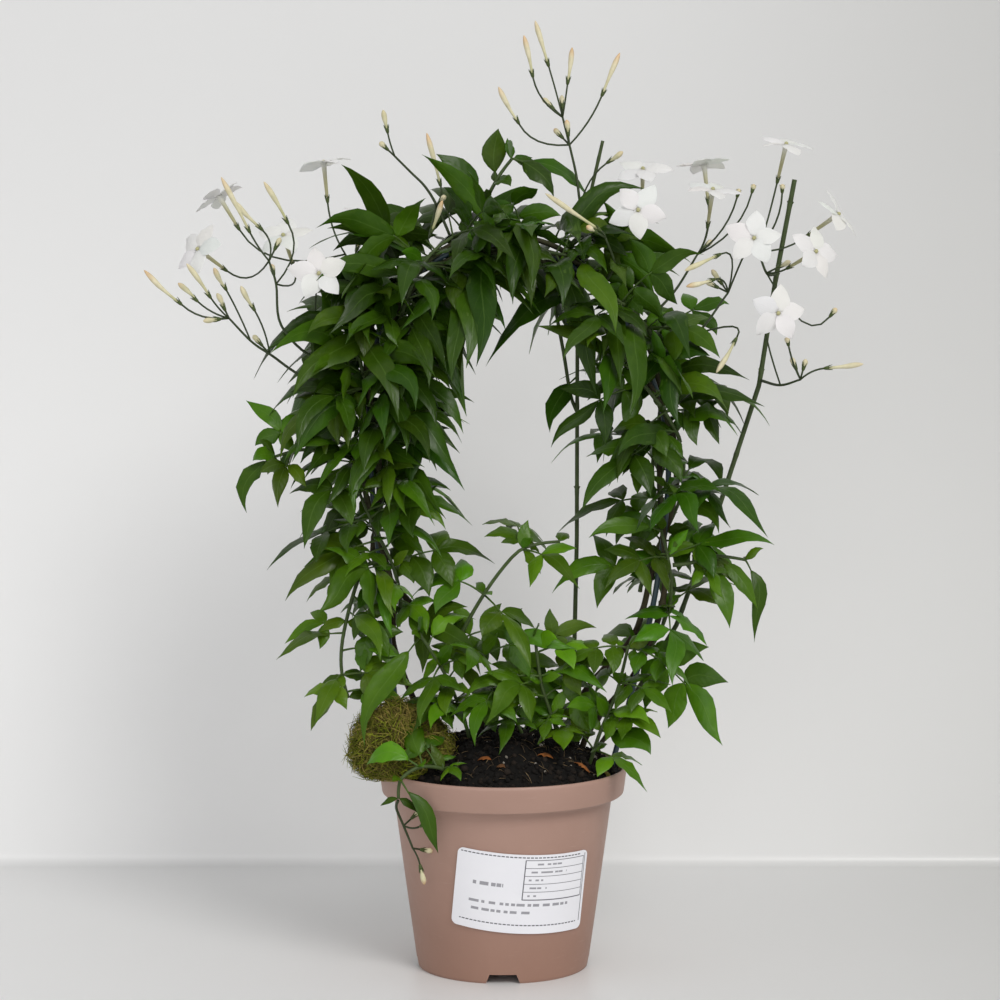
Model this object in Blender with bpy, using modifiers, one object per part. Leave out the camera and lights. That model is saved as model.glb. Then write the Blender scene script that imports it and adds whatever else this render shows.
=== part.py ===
"""Potted pink jasmine, Jasminum polyanthum, twined round a wire hoop.

Metres, +Z up. The origin is the centre of the pot's base and the front is -Y.
Routes and places are written in millimetres and turned into metres once.
"""

import math
import random
from collections import namedtuple

import bmesh
import bpy
from mathutils import Vector
from mathutils.bvhtree import BVHTree
from mathutils.geometry import convex_hull_2d

NAME = "pink_jasmine"
MM = 0.001
GAP = 0.3 * MM  # left between pieces that touch
UP = Vector((0, 0, 1))
BACK = Vector((0, 1, 0))
LIGHT = Vector((0, -0.75, 0.65))  # the leaves turn their faces this way
OPEN_SIDE = Vector((0, -0.6, 1))  # a free shoot's leaves grow this way

# Pot: an 11 cm nursery pot with a rolled rim and a notched foot.
POT_HEIGHT = 90 * MM
RIM_RADIUS = 55 * MM
RIM_HEIGHT = 12 * MM
RIM_WALL = 1.6 * MM
RIM_TAPER = 1.4 * MM  # how much narrower the band round the rim is at its foot
WALL_TOP_RADIUS = 48.5 * MM
FOOT_RADIUS = 38 * MM
POT_WALL = 1.2 * MM
FLOOR_HEIGHT = 4.8 * MM
FOOT_WIDTH = 2.4 * MM
POT_SIDES = 32
NOTCH_WIDTH = 14 * MM
NOTCH_HEIGHT = 4.2 * MM
NOTCH_COUNT = 4

# Label: a 61 x 36 mm sticker rolled flat on the cone of the wall.
LABEL_WIDTH = 61 * MM
LABEL_HEIGHT = 36 * MM
LABEL_THICKNESS = 0.4 * MM
LABEL_MIDDLE_HEIGHT = 41 * MM
LABEL_ANGLE = math.radians(12)
LABEL_TILT = math.radians(-4.3)
LABEL_CORNER = 2.5 * MM

# Compost and moss: the root ball's top is domed and stands above the rim.
SOIL_HEIGHT = 86.5 * MM
SOIL_RISE = 19 * MM
SOIL_EDGE = 52.4 * MM
SOIL_BUMP = 0.9 * MM
SOIL_RINGS = 4
SOIL_SIDES = 20
SOIL_CLEARANCE = 1.8 * MM  # over the dome's smooth surface, room for its bumps and facets
MOSS_MIDDLE = (-45, -20, 101)
MOSS_SIZE = (23, 15.5, 21)
MOSS_BUMP = 0.10
RIM_ROOM = 3.4 * MM  # the rim's breadth with room for the moss that hangs over it

# Hoop: x and z of the wire, left foot to right foot.
HOOP_RADIUS = 1.25 * MM
HOOP_STEP = 25 * MM
HOOP_POINTS = [
    (-38, 50), (-45, 84), (-48, 120), (-52, 160), (-57, 205), (-59, 245), (-54, 284), (-34, 311),
    (-4, 321), (26, 314), (52, 289), (68, 255), (73, 222), (68, 170), (57, 122), (47, 84), (39, 50),
]

# Vines wind round the hoop in quarter phases.
VINE_RADII = (1.5 * MM, 1.1 * MM)
VINE_OFFSET = 3.9 * MM
VINE_STEP = 14 * MM
GUIDE_SPANS = 4
TURN = 2 * math.pi / (118 * MM)
SHOOT_RADIUS = 1.0 * MM
SHOOT_OFFSET = 7.2 * MM
SHOOT_STEP = 15 * MM
STEM_SINK = 22 * MM  # depth of a stem or wire in the compost
FLAT_ANGLE = math.radians(0.5)
SEAT_GAP = 0.48 * MM  # left between a side stem and the stem it grows from
NEAR_HOOP = 9 * MM  # the leaves of a stem this close to the hoop grow away from it
SLEEVE_GAP = 1.0 * MM  # room round a stem in its hole
SLEEVE_TOP = 3 * MM

# Leaves: share of a leaf's length where each pair of leaflets and the last leaflet start.
LEAF_THICKNESS = 0.7 * MM
RIB_HALF = 0.6 * MM
PAIR_BASE = 1.7 * MM
PAIR_PLACES = {0: (), 1: (0.28,), 2: (0.17, 0.39)}
PAIR_ANGLES = {0: (), 1: (66,), 2: (82, 68)}
LEAFLET_REACH = (0.41, 0.12)  # of the leaf's length, and how much less for each share along it
LEAFLET_WIDTH = 0.48
LAST_LEAFLET_WIDTH = 0.31
LONE_LEAFLET_START = 0.16
SMALL_LEAF = 47 * MM
LONG_LEAFLET = ((0.28, 0.95), (0.62, 0.76))  # share of its length, share of its width
SHORT_LEAFLET = ((0.40, 1.0),)
LEAFLET_WIDEST = 0.45
LEAFLET_FALL = 0.7
PETIOLE_SHARE = 0.13
LEAF_MARGIN = 0.9 * MM
LEAF_TRIES = 40

# The clear space inside the wreath: x and z ranges.
OPENINGS = [((-12, 11), (208, 270))]
DEPTH_LIMIT = 53 * MM

COLOURS = {
    "pot": (0.36, 0.22, 0.17), "label": (0.82, 0.82, 0.85), "soil": (0.012, 0.010, 0.009),
    "moss": (0.10, 0.10, 0.02), "hoop": (0.03, 0.10, 0.11), "vine": (0.045, 0.05, 0.02),
    "stem": (0.06, 0.14, 0.05), "leaf": (0.04, 0.11, 0.015), "spray": (0.45, 0.42, 0.15),
    "petal": (0.86, 0.86, 0.84),
}

Vine = namedtuple("Vine", "name guide join end phase")
VINES = [
    Vine("vine_left_1", [(-9, 8, 88), (-10, 8, 112), (-17, 7, 136), (-33, 9, 152)], 134, 380, 0),
    Vine("vine_left_2", [(-30, 16, 88), (-34, 16, 104), (-42, 12, 122)], 96, 345, 180),
    Vine("vine_right_1", [(24, 9, 88), (31, 8, 112), (44, 8, 131), (56, 9, 142)], 503, 245, 90),
    Vine("vine_right_2", [(34, 5, 88), (38, 9, 103), (49, 10, 117)], 535, 290, 270),
]

# Straight stems, reaching up past the wreath to a cut end, and one thinner side branch.
STEM_CENTRE = [
    (30, 14, 88), (32, 14, 140), (33, 14, 190), (33, 14, 250), (33, 14, 300), (38, 14, 340), (44, 14, 366),
]
BRANCHES = {"stem_centre": [(33, 14, 246), (30, 14, 254), (27, 13, 272), (23, 12, 293)]}
STEM_RIGHT = [
    (38, 16, 88), (57, 20, 114), (78, 19, 150), (95, 18, 198), (114, 17, 258), (121, 17, 305),
    (129, 17, 349),
]
STEM_RADIUS = 1.1 * MM
STEM_TAPER = 0.7  # share of its radius a leafy stem keeps at the tip
BRANCH_RADIUS = 0.8 * MM

# Side shoots on the hoop: parent vine, start and end along the hoop in mm, leaf length.
HoopShoot = namedtuple("HoopShoot", "name vine start end size")
HOOP_SHOOTS = [
    HoopShoot("shoot_left_1", 1, 102, 164, 54), HoopShoot("shoot_left_2", 0, 140, 202, 58),
    HoopShoot("shoot_left_3", 1, 172, 232, 62), HoopShoot("shoot_left_4", 0, 210, 270, 66),
    HoopShoot("shoot_left_5", 1, 240, 300, 66), HoopShoot("shoot_top_1", 0, 278, 338, 56),
    HoopShoot("shoot_right_1", 3, 529, 467, 50), HoopShoot("shoot_right_2", 2, 497, 437, 56),
    HoopShoot("shoot_right_3", 3, 459, 399, 62), HoopShoot("shoot_right_4", 2, 429, 369, 62),
    HoopShoot("shoot_right_5", 3, 391, 333, 58), HoopShoot("shoot_top_2", 2, 361, 301, 54),
]

# Where the leaves of a shoot start, and how far apart they stand, in mm along it.
FIRST_LEAF_HOOP = 6
FIRST_LEAF_FREE = 10
FIRST_LEAF_ROOTED = 34
HOOP_SHOOT_SPACING = 24

# Free side shoots: points of the stem in mm, leaf length and distance between pairs.
ROOTED_BELOW = 95  # a free shoot that starts lower stands in the compost
FreeShoot = namedtuple("FreeShoot", "name points size spacing")
FREE_SHOOTS = [
    FreeShoot("shoot_arch", [(-14, 7, 124), (-20, -5, 146), (-10, -10, 165), (7, -12, 187), (25, -10, 191)],
              42, 27),
    FreeShoot("shoot_base_1", [(14, 0, 88), (8, -6, 106), (-1, -12, 124), (-9, -15, 142)], 46, 16),
    FreeShoot("shoot_base_2", [(27, -6, 88), (24, -11, 106), (17, -15, 128), (14, -15, 150)], 46, 16),
    FreeShoot("shoot_base_3", [(37, -15, 88), (42, -18, 106), (50, -18, 126), (55, -16, 146)], 44, 16),
    FreeShoot("shoot_base_4", [(-12, -7, 88), (-16, -9, 108), (-25, -14, 132), (-37, -17, 152)], 46, 20),
    FreeShoot("shoot_hang", [(-54, -4, 190), (-62, -8, 178), (-70, -10, 151), (-71, -12, 134),
                             (-68, -12, 122)], 36, 24),
    FreeShoot("shoot_rim", [(-20, -30, 88), (-26, -38, 95), (-36, -44, 97), (-44, -47, 92),
                            (-45, -48, 84)], 22, 40),
    FreeShoot("shoot_right_out", [(73, -4, 172), (82, -7, 181), (94, -6, 184), (107, -3, 182)], 30, 40),
    FreeShoot("shoot_left_out", [(-60, -3, 220), (-74, -5, 229), (-88, -6, 231), (-100, -6, 228)], 32, 18),
    FreeShoot("shoot_crown", [(-12, -3, 322), (-9, -4, 336), (-2, -5, 350), (4, -5, 358)], 0, 60),
]

# Leaves with a place of their own: shoot, root, rise of the bend, tip, pairs and breadth.
CHOSEN_LEAVES = [
    ("shoot_left_out", (-100, -6, 228), (-8, 0, 7), (-112, -14, 204), 0, 1.2),
    ("shoot_left_4", (-62, -4, 244), (-8, -4, 9), (-97, -16, 226), 1, 1.1),
    ("shoot_left_5", (-54, -4, 282), (-8, -6, 11), (-91, -28, 280), 1, 1.2),
    ("shoot_left_5", (-46, -4, 296), (-6, -6, 12), (-84, -22, 300), 2, 1.0),
    ("shoot_top_1", (-36, -6, 306), (-8, 8, 12), (-72, 26, 322), 0, 1.1),
    ("shoot_top_1", (-28, -6, 314), (-6, 10, 10), (-52, 24, 334), 0, 1.0),
    ("shoot_top_2", (6, -8, 324), (2, -8, 8), (12, -30, 294), 1, 1.0),
    ("shoot_top_2", (36, -6, 310), (4, -2, 12), (62, -2, 322), 1, 1.0),
    ("shoot_right_5", (62, -6, 282), (8, -4, 9), (92, -18, 268), 1, 1.2),
    ("shoot_left_1", (-58, -2, 190), (-6, -2, 8), (-95, -20, 166), 1, 1.1),
    ("shoot_right_out", (90, -6, 184), (3, -2, 3), (99, -20, 154), 0, 1.4),
    ("shoot_right_out", (93, -4, 184), (4, 0, 3), (112, -10, 161), 0, 1.2),
    ("shoot_right_out", (107, -3, 182), (7, 0, 4), (112, -8, 147), 0, 0.9),
    ("shoot_right_4", (60, -8, 268), (-4, -4, 7), (14, -20, 286), 0, 0.8),
    ("shoot_crown", (-7, -4, 340), (-2, 0, 4), (-29, -6, 360), 0, 1.6),
    ("shoot_crown", (-3, -5, 348), (-2, 0, 2), (-2, -6, 371), 0, 1.8),
    ("shoot_crown", (4, -5, 358), (6, -3, 5), (22, -12, 341), 0, 1.4),
    ("shoot_crown", (4, -5, 358), (8, 2, 8), (38, 4, 336), 0, 1.0),
    ("shoot_top_1", (-22, -8, 322), (4, 10, 12), (8, 16, 346), 0, 1.0),
    ("shoot_top_1", (-24, -8, 322), (0, -10, 4), (-2, -24, 290), 0, 0.9),
    ("shoot_rim", (-44, -47, 92), (2, -3, 0), (-29, -51, 62), 0, 1.1),
    ("shoot_rim", (-36, -44, 97), (-4, -2, 12), (-59, -40, 97), 0, 1.1),
    ("shoot_left_5", (-60, -4, 266), (-10, -8, 8), (-90, -38, 256), 0, 1.0),
    ("shoot_left_4", (-60, -4, 254), (-10, -6, 12), (-88, -36, 232), 1, 0.9),
    ("shoot_left_4", (-60, -2, 234), (-10, 4, 12), (-98, 8, 214), 2, 0.9),
    ("shoot_left_4", (-58, -6, 240), (6, -8, 9), (-20, -24, 222), 1, 1.2),
    ("shoot_top_1", (-38, -6, 306), (4, -14, 6), (-22, -42, 262), 1, 0.8),
    ("shoot_top_1", (-40, -4, 304), (-6, 10, 8), (-80, 36, 288), 1, 0.9),
    ("shoot_left_3", (-58, -4, 214), (-8, -6, 8), (-86, -30, 190), 1, 1.2),
    ("shoot_right_5", (64, -4, 278), (8, 4, 12), (100, 10, 294), 2, 0.9),
    ("shoot_right_4", (70, -2, 248), (8, 2, 10), (106, 4, 236), 2, 0.9),
    ("shoot_top_2", (44, -6, 304), (6, 2, 10), (80, 6, 318), 1, 1.1),
    ("shoot_base_3", (44, -18, 108), (3, -4, 4), (64, -36, 101), 0, 1.6),
    ("shoot_base_2", (22, -13, 110), (2, -4, 4), (26, -42, 104), 1, 1.3),
    ("shoot_base_4", (-36, -17, 150), (-6, -8, 4), (-60, -34, 104), 0, 1.0),
    ("stem_centre", (33, 14, 262), (-6, -2, 3), (14, 10, 249), 0, 1.4),
    ("stem_centre", (33, 14, 250), (5, 2, 2), (48, 18, 240), 0, 1.2),
]

# Blooms: middle of the mouth in mm and the way the bloom faces.
CALYX_LENGTH = 2.6 * MM
FLOWER_TUBE = 16 * MM
LOBES = 5
LOBE_ROOT = 1.6 * MM
LOBE_REACH = 13.2 * MM
LOBE_WIDTH = 7.8 * MM
LOBE_WIDEST = 0.55
LOBE_DROOP = 1.2 * MM
PETAL_THICKNESS = 0.7 * MM
Bloom = namedtuple("Bloom", "middle facing")
BLOOMS = {
    "bloom_left_1": Bloom((-79, -30, 309), (0.1, -0.9, 0.35)),
    "bloom_left_2": Bloom((-96, -3, 325), (-0.2, -0.6, 0.75)),
    "bloom_left_3": Bloom((-133, -8, 319), (-0.6, -0.5, 0.5)),
    "bloom_left_4": Bloom((-127, 30, 342), (-0.5, 0.2, 0.8)),
    "bloom_left_5": Bloom((-80, 30, 357), (-0.1, 0.1, 1.0)),
    "bloom_left_6": Bloom((-60, 26, 334), (0.3, -0.2, 0.9)),
    "bloom_right_1": Bloom((58, -26, 336), (0.0, -0.95, 0.25)),
    "bloom_right_2": Bloom((62, 20, 354), (0.0, -0.4, 0.9)),
    "bloom_right_3": Bloom((90, 34, 356), (-0.1, 0.2, 1.0)),
    "bloom_right_4": Bloom((92, 4, 345), (0.1, -0.3, 0.9)),
    "bloom_right_5": Bloom((108, -24, 324), (0.1, -0.9, 0.3)),
    "bloom_right_6": Bloom((126, 26, 365), (0.2, -0.2, 0.95)),
    "bloom_right_7": Bloom((148, 10, 334), (0.75, -0.3, 0.55)),
    "bloom_right_8": Bloom((136, -12, 318), (0.6, -0.6, 0.4)),
    "bloom_right_9": Bloom((118, -32, 292), (0.15, -0.95, 0.15)),
}

# Sprays: the stalk's points, buds as (point of the stalk, calyx, tip), blooms as (point, name).
SHORT_TWIG = 16 * MM  # a shorter one is straight
STALK_RADII = (0.75 * MM, 0.6 * MM)
TWIG_RADIUS = 0.6 * MM
BUD_RADII = [0.9 * MM, 1.5 * MM, 0.35 * MM]
BUD_WIDEST = 0.6
CALYX_MOUTH = 1.05 * MM
TUBE_FOOT = 0.75 * MM
Spray = namedtuple("Spray", "name stem buds blooms")
SPRAYS = [
    Spray("spray_left_low",
          [(-58, -2, 252), (-84, -6, 262), (-102, -6, 273), (-110, -10, 279), (-119, -14, 289)],
          [(4, (-139, -18, 295), (-155, -20, 310)), (4, (-133, -8, 296), (-142, -4, 304)),
           (4, (-126, -22, 298), (-136, -26, 313)), (3, (-120, -13, 301), (-125, -18, 311)),
           (2, (-108, -10, 292), (-114, -12, 303))], []),
    Spray("spray_left_high",
          [(-55, -8, 270), (-82, -14, 272), (-96, -18, 286), (-98, -20, 304), (-101, -20, 314)],
          [(4, (-109, -20, 326), (-121, -24, 350)), (4, (-104, -14, 327), (-117, -12, 340)),
           (3, (-92, -28, 330), (-102, -33, 348))],
          [(3, "bloom_left_2"), (1, "bloom_left_1"), (4, "bloom_left_3")]),
    Spray("spray_left_back", [(-52, 5, 286), (-64, 14, 302), (-70, 20, 316)],
          [(1, (-59, 10, 311), (-61, 6, 326))],
          [(2, "bloom_left_4"), (2, "bloom_left_5"), (1, "bloom_left_6")]),
    Spray("spray_crown_left",
          [(-24, -3, 316), (-29, -5, 338), (-34, -5, 346), (-40, -5, 352), (-47, -6, 359)],
          [(4, (-50, -7, 369), (-52, -8, 379)), (1, (-27, -9, 346), (-33, -12, 369)),
           (1, (-31, -20, 326), (-26, -27, 340))], []),
    Spray("spray_top", [(32, 2, 312), (34, 0, 338), (32, 0, 351), (29, 0, 364), (26, 0, 376)],
          [(3, (7, -4, 373), (-2, -6, 389)), (3, (43, 3, 385), (51, 4, 404)),
           (4, (13, -5, 393), (9, -8, 411)),
           (4, (20, 4, 398), (14, 6, 418)), (4, (28, -3, 390), (30, -4, 406)),
           (1, (45, -6, 356), (52, -9, 361))], []),
    Spray("spray_top_front", [(46, -6, 298), (48, -18, 312), (44, -27, 324)],
          [(2, (42, -28, 327), (18, -34, 343))], []),
    Spray("spray_right_1", [(52, 4, 292), (56, 4, 308), (58, 6, 318)],
          [], [(1, "bloom_right_1"), (2, "bloom_right_2")]),
    Spray("spray_right_2", [(60, 4, 276), (76, 12, 300), (86, 14, 316)],
          [(2, (103, 10, 341), (104, 10, 345)), (2, (109, 4, 343), (110, 4, 347))],
          [(2, "bloom_right_3"), (2, "bloom_right_4")]),
    Spray("spray_right_3", [(66, -6, 262), (84, -10, 282), (98, -10, 300)],
          [(2, (94, -20, 317), (78, -28, 310)), (2, (92, -16, 306), (79, -22, 303)),
           (1, (101, -22, 281), (92, -25, 266))],
          [(2, "bloom_right_5")]),
    Spray("spray_right_4", [(120, 17, 304), (116, 6, 308), (112, 4, 318)],
          [(2, (122, 0, 343), (122, -1, 347)), (1, (143, -2, 289), (146, -3, 293))],
          [(2, "bloom_right_6"), (2, "bloom_right_7"), (1, "bloom_right_8")]),
    Spray("spray_right_5", [(114, 17, 257), (122, 0, 259), (130, -8, 262)],
          [(2, (140, -10, 267), (157, -12, 269)), (2, (124, -16, 277), (123, -18, 281))],
          [(1, "bloom_right_9")]),
    Spray("spray_hang", [(-45, -48, 84), (-46, -44, 79), (-43, -42, 71), (-39, -42, 61)],
          [(3, (-36, -42, 54), (-34, -42, 45)), (2, (-36, -44, 71), (-29, -46, 75))], []),
]


def vector(point):
    """A point in millimetres as a vector in metres."""
    return Vector(point) * MM


# --- curves -------------------------------------------------------------------------------------

def smooth(points, spans=8):
    """Points on a smooth curve that passes through the given ones."""
    ends = [2 * points[0] - points[1]] + list(points) + [2 * points[-1] - points[-2]]
    out = []
    for a, b, c, d in zip(ends, ends[1:], ends[2:], ends[3:]):
        for k in range(spans):
            t = k / spans
            out.append(0.5 * (2 * b + (c - a) * t + (2 * a - 5 * b + 4 * c - d) * t ** 2
                              + (3 * b - a - 3 * c + d) * t ** 3))
    out.append(points[-1].copy())
    return out


class Route:
    """A polyline that can be read at any length along it."""

    def __init__(self, points):
        self.points = points
        self.lengths = [0.0]
        for a, b in zip(points, points[1:]):
            self.lengths.append(self.lengths[-1] + (b - a).length)

    def at(self, length):
        """The point and the direction of travel at a length."""
        length = min(max(length, 0.0), self.lengths[-1])
        k = 1
        while k < len(self.lengths) - 1 and self.lengths[k] < length:
            k += 1
        a, b = self.points[k - 1], self.points[k]
        share = (length - self.lengths[k - 1]) / (self.lengths[k] - self.lengths[k - 1])
        return a.lerp(b, share), (b - a).normalized()

    def even(self, step):
        """Points at even steps along the route, both ends included."""
        count = max(2, round(self.lengths[-1] / step))
        return [self.at(self.lengths[-1] * k / count)[0] for k in range(count + 1)]

    def nearest(self, point):
        """The closest point of the route to a point, and the route's direction there."""
        best = None
        for a, b in zip(self.points, self.points[1:]):
            edge = b - a
            share = min(max((point - a).dot(edge) / edge.length_squared, 0.0), 1.0)
            spot = a + edge * share
            if best is None or (spot - point).length < (best[0] - point).length:
                best = spot, edge.normalized()
        return best


HOOP = Route(smooth([Vector((x, 0, z)) * MM for x, z in HOOP_POINTS]))


def beside_hoop(length, offset, phase):
    """A point at an offset from the wire, in a phase that turns along the hoop."""
    point, along = HOOP.at(length)
    outward = along.cross(BACK)
    angle = math.radians(phase) + TURN * length
    return point + offset * (math.cos(angle) * outward + math.sin(angle) * BACK)


def vine_route(vine):
    """From the compost, past the guide points, then winding round the hoop."""
    count = round(abs(vine.end - vine.join) * MM / VINE_STEP)
    turns = [beside_hoop((vine.join + (vine.end - vine.join) * k / count) * MM, VINE_OFFSET, vine.phase)
             for k in range(count + 1)]
    root = vector(vine.guide[0]) - UP * STEM_SINK
    guide = smooth([vector(p) for p in vine.guide] + turns[:2], GUIDE_SPANS)
    return Route([root] + Route(guide[:-GUIDE_SPANS]).even(VINE_STEP) + turns[1:])


def seat(target, hosts):
    """The place a hair off the nearest host, facing the target, where a side stem starts."""
    found = [(*route.nearest(target), radius) for route, radius in hosts]
    spot, along, radius = min(found, key=lambda f: (f[0] - target).length - f[2])
    away = (target - spot).normalized()
    return spot + away * (radius * away.cross(along).length + SEAT_GAP)


# --- scene, materials and meshes ----------------------------------------------------------------

def clear_scene():
    for thing in list(bpy.data.objects):
        bpy.data.objects.remove(thing, do_unlink=True)


def collection(name):
    group = bpy.data.collections.new(name)
    bpy.context.scene.collection.children.link(group)
    return group


def material(name, colour, roughness, metallic=0.0):
    made = bpy.data.materials.new(name)
    made.use_nodes = True
    shader = made.node_tree.nodes["Principled BSDF"]
    shader.inputs["Base Color"].default_value = (*colour, 1.0)
    shader.inputs["Roughness"].default_value = roughness
    shader.inputs["Metallic"].default_value = metallic
    return made


def object_from(name, points, faces, group, edges=()):
    mesh = bpy.data.meshes.new(name)
    mesh.from_pydata(points, edges, faces)
    mesh.update()
    made = bpy.data.objects.new(name, mesh)
    group.objects.link(made)
    return made


def evaluated_mesh(thing):
    """The mesh of an object with its modifiers or bevel applied."""
    graph = bpy.context.evaluated_depsgraph_get()
    return bpy.data.meshes.new_from_object(thing.evaluated_get(graph))


def tube(name, points, radii, group, sides=4):
    """A closed tube along the points, with a radius at each of them."""
    curve = bpy.data.curves.new(name, "CURVE")
    curve.dimensions = "3D"
    if sides == 3:
        curve.bevel_mode = "OBJECT"
        curve.bevel_object = triangle_guide(group)
    else:
        curve.bevel_depth = 1.0
        curve.bevel_resolution = (sides - 4) // 2
    curve.use_fill_caps = True
    spline = curve.splines.new("POLY")
    spline.points.add(len(points) - 1)
    for spot, point, radius in zip(spline.points, points, radii):
        spot.co = (*point, 1.0)
        spot.radius = radius
    guide = bpy.data.objects.new(f"{name}_curve", curve)
    group.objects.link(guide)
    mesh = evaluated_mesh(guide)
    shape = bmesh.new()
    shape.from_mesh(mesh)
    bmesh.ops.remove_doubles(shape, verts=shape.verts, dist=1e-6)
    bmesh.ops.triangulate(shape, faces=shape.faces)
    shape.to_mesh(mesh)
    shape.free()
    made = bpy.data.objects.new(name, mesh)
    made.matrix_world = guide.matrix_world
    group.objects.link(made)
    if curve.bevel_object:
        bpy.data.objects.remove(curve.bevel_object, do_unlink=True)
    bpy.data.objects.remove(guide, do_unlink=True)
    return made


def triangle_guide(group):
    """A closed three-sided outline, the section of the thinnest stalks."""
    curve = bpy.data.curves.new("triangle", "CURVE")
    spline = curve.splines.new("POLY")
    spline.points.add(2)
    spline.use_cyclic_u = True
    for k, spot in enumerate(spline.points):
        angle = -math.tau * k / 3
        spot.co = (math.cos(angle), math.sin(angle), 0, 1)
    guide = bpy.data.objects.new("triangle", curve)
    group.objects.link(guide)
    return guide


def taper(points, start, end):
    """A radius for each point, changing evenly from one end to the other."""
    last = len(points) - 1
    return [start + (end - start) * k / last for k in range(last + 1)]


def turned(name, profile, sides, group):
    """A profile in x and z turned round the vertical axis."""
    edges = [(k, k + 1) for k in range(len(profile) - 1)]
    made = object_from(name, [(x, 0, z) for x, z in profile], [], group, edges)
    screw = made.modifiers.new("turn", "SCREW")
    screw.steps = sides
    screw.render_steps = sides
    screw.use_merge_vertices = True
    screw.merge_threshold = 1e-5
    return made


def flatten(mesh):
    """Drop the points that a Boolean leaves along flat faces and straight edges."""
    shape = bmesh.new()
    shape.from_mesh(mesh)
    bmesh.ops.dissolve_limit(shape, angle_limit=FLAT_ANGLE, verts=shape.verts, edges=shape.edges)
    bmesh.ops.triangulate(shape, faces=shape.faces)
    shape.to_mesh(mesh)
    shape.free()


def boolean(thing, operation, group, solver="EXACT"):
    """Apply one Boolean of a collection to a thing and remove the collection's objects."""
    modifier = thing.modifiers.new("boolean", "BOOLEAN")
    modifier.operation = operation
    modifier.operand_type = "COLLECTION"
    modifier.collection = group
    modifier.solver = solver
    mesh = evaluated_mesh(thing)
    thing.modifiers.clear()
    thing.data = mesh
    for piece in list(group.objects):
        bpy.data.objects.remove(piece, do_unlink=True)
    bpy.data.collections.remove(group)
    flatten(mesh)


def move_to(thing, group):
    for old in list(thing.users_collection):
        old.objects.unlink(thing)
    group.objects.link(thing)


def dress(thing, look, flat_above=40):
    """Give a finished piece its material and smooth shading."""
    thing.data.materials.clear()
    thing.data.materials.append(look)
    thing.data.shade_smooth()
    thing.data.set_sharp_from_angle(angle=math.radians(flat_above))


# --- sheets: leaves and petals --------------------------------------------------------------------

class Sheet:
    """An open sheet of triangles with a normal at each point, thickened into a closed blade."""

    def __init__(self):
        self.points = []
        self.normals = []
        self.faces = []

    def add(self, point, normal):
        self.points.append(point)
        self.normals.append(normal.normalized())
        return len(self.points) - 1

    def quad(self, a, b, c, d):
        self.faces += [(a, b, c), (a, c, d)]

    def solid(self, thickness, open_below=()):
        """Points and faces of the blade. Faces in open_below are left out of its lower side."""
        count = len(self.points)
        top = [p + n * thickness / 2 for p, n in zip(self.points, self.normals)]
        low = [p - n * thickness / 2 for p, n in zip(self.points, self.normals)]
        faces = list(self.faces)
        faces += [(a + count, c + count, b + count)
                  for a, b, c in self.faces if (a, b, c) not in open_below]
        edges = {(f[k], f[(k + 1) % 3]) for f in self.faces for k in range(3)}
        for a, b in sorted(edges):
            if (b, a) not in edges:
                faces += [(b, a, a + count), (b, a + count, b + count)]
        return top + low, faces


def bend_at(a, b, c, share):
    """A point on the arch from a over b to c."""
    return a.lerp(b, share).lerp(b.lerp(c, share), share)


def level(vector_in, along):
    """The part of a vector square to a direction, as a unit vector."""
    return (vector_in - along * vector_in.dot(along)).normalized()


# A leaf's midline is an arch from its root over a bend to its tip; side points across the blade.
Leaf = namedtuple("Leaf", "root bend tip side pairs breadth")


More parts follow.
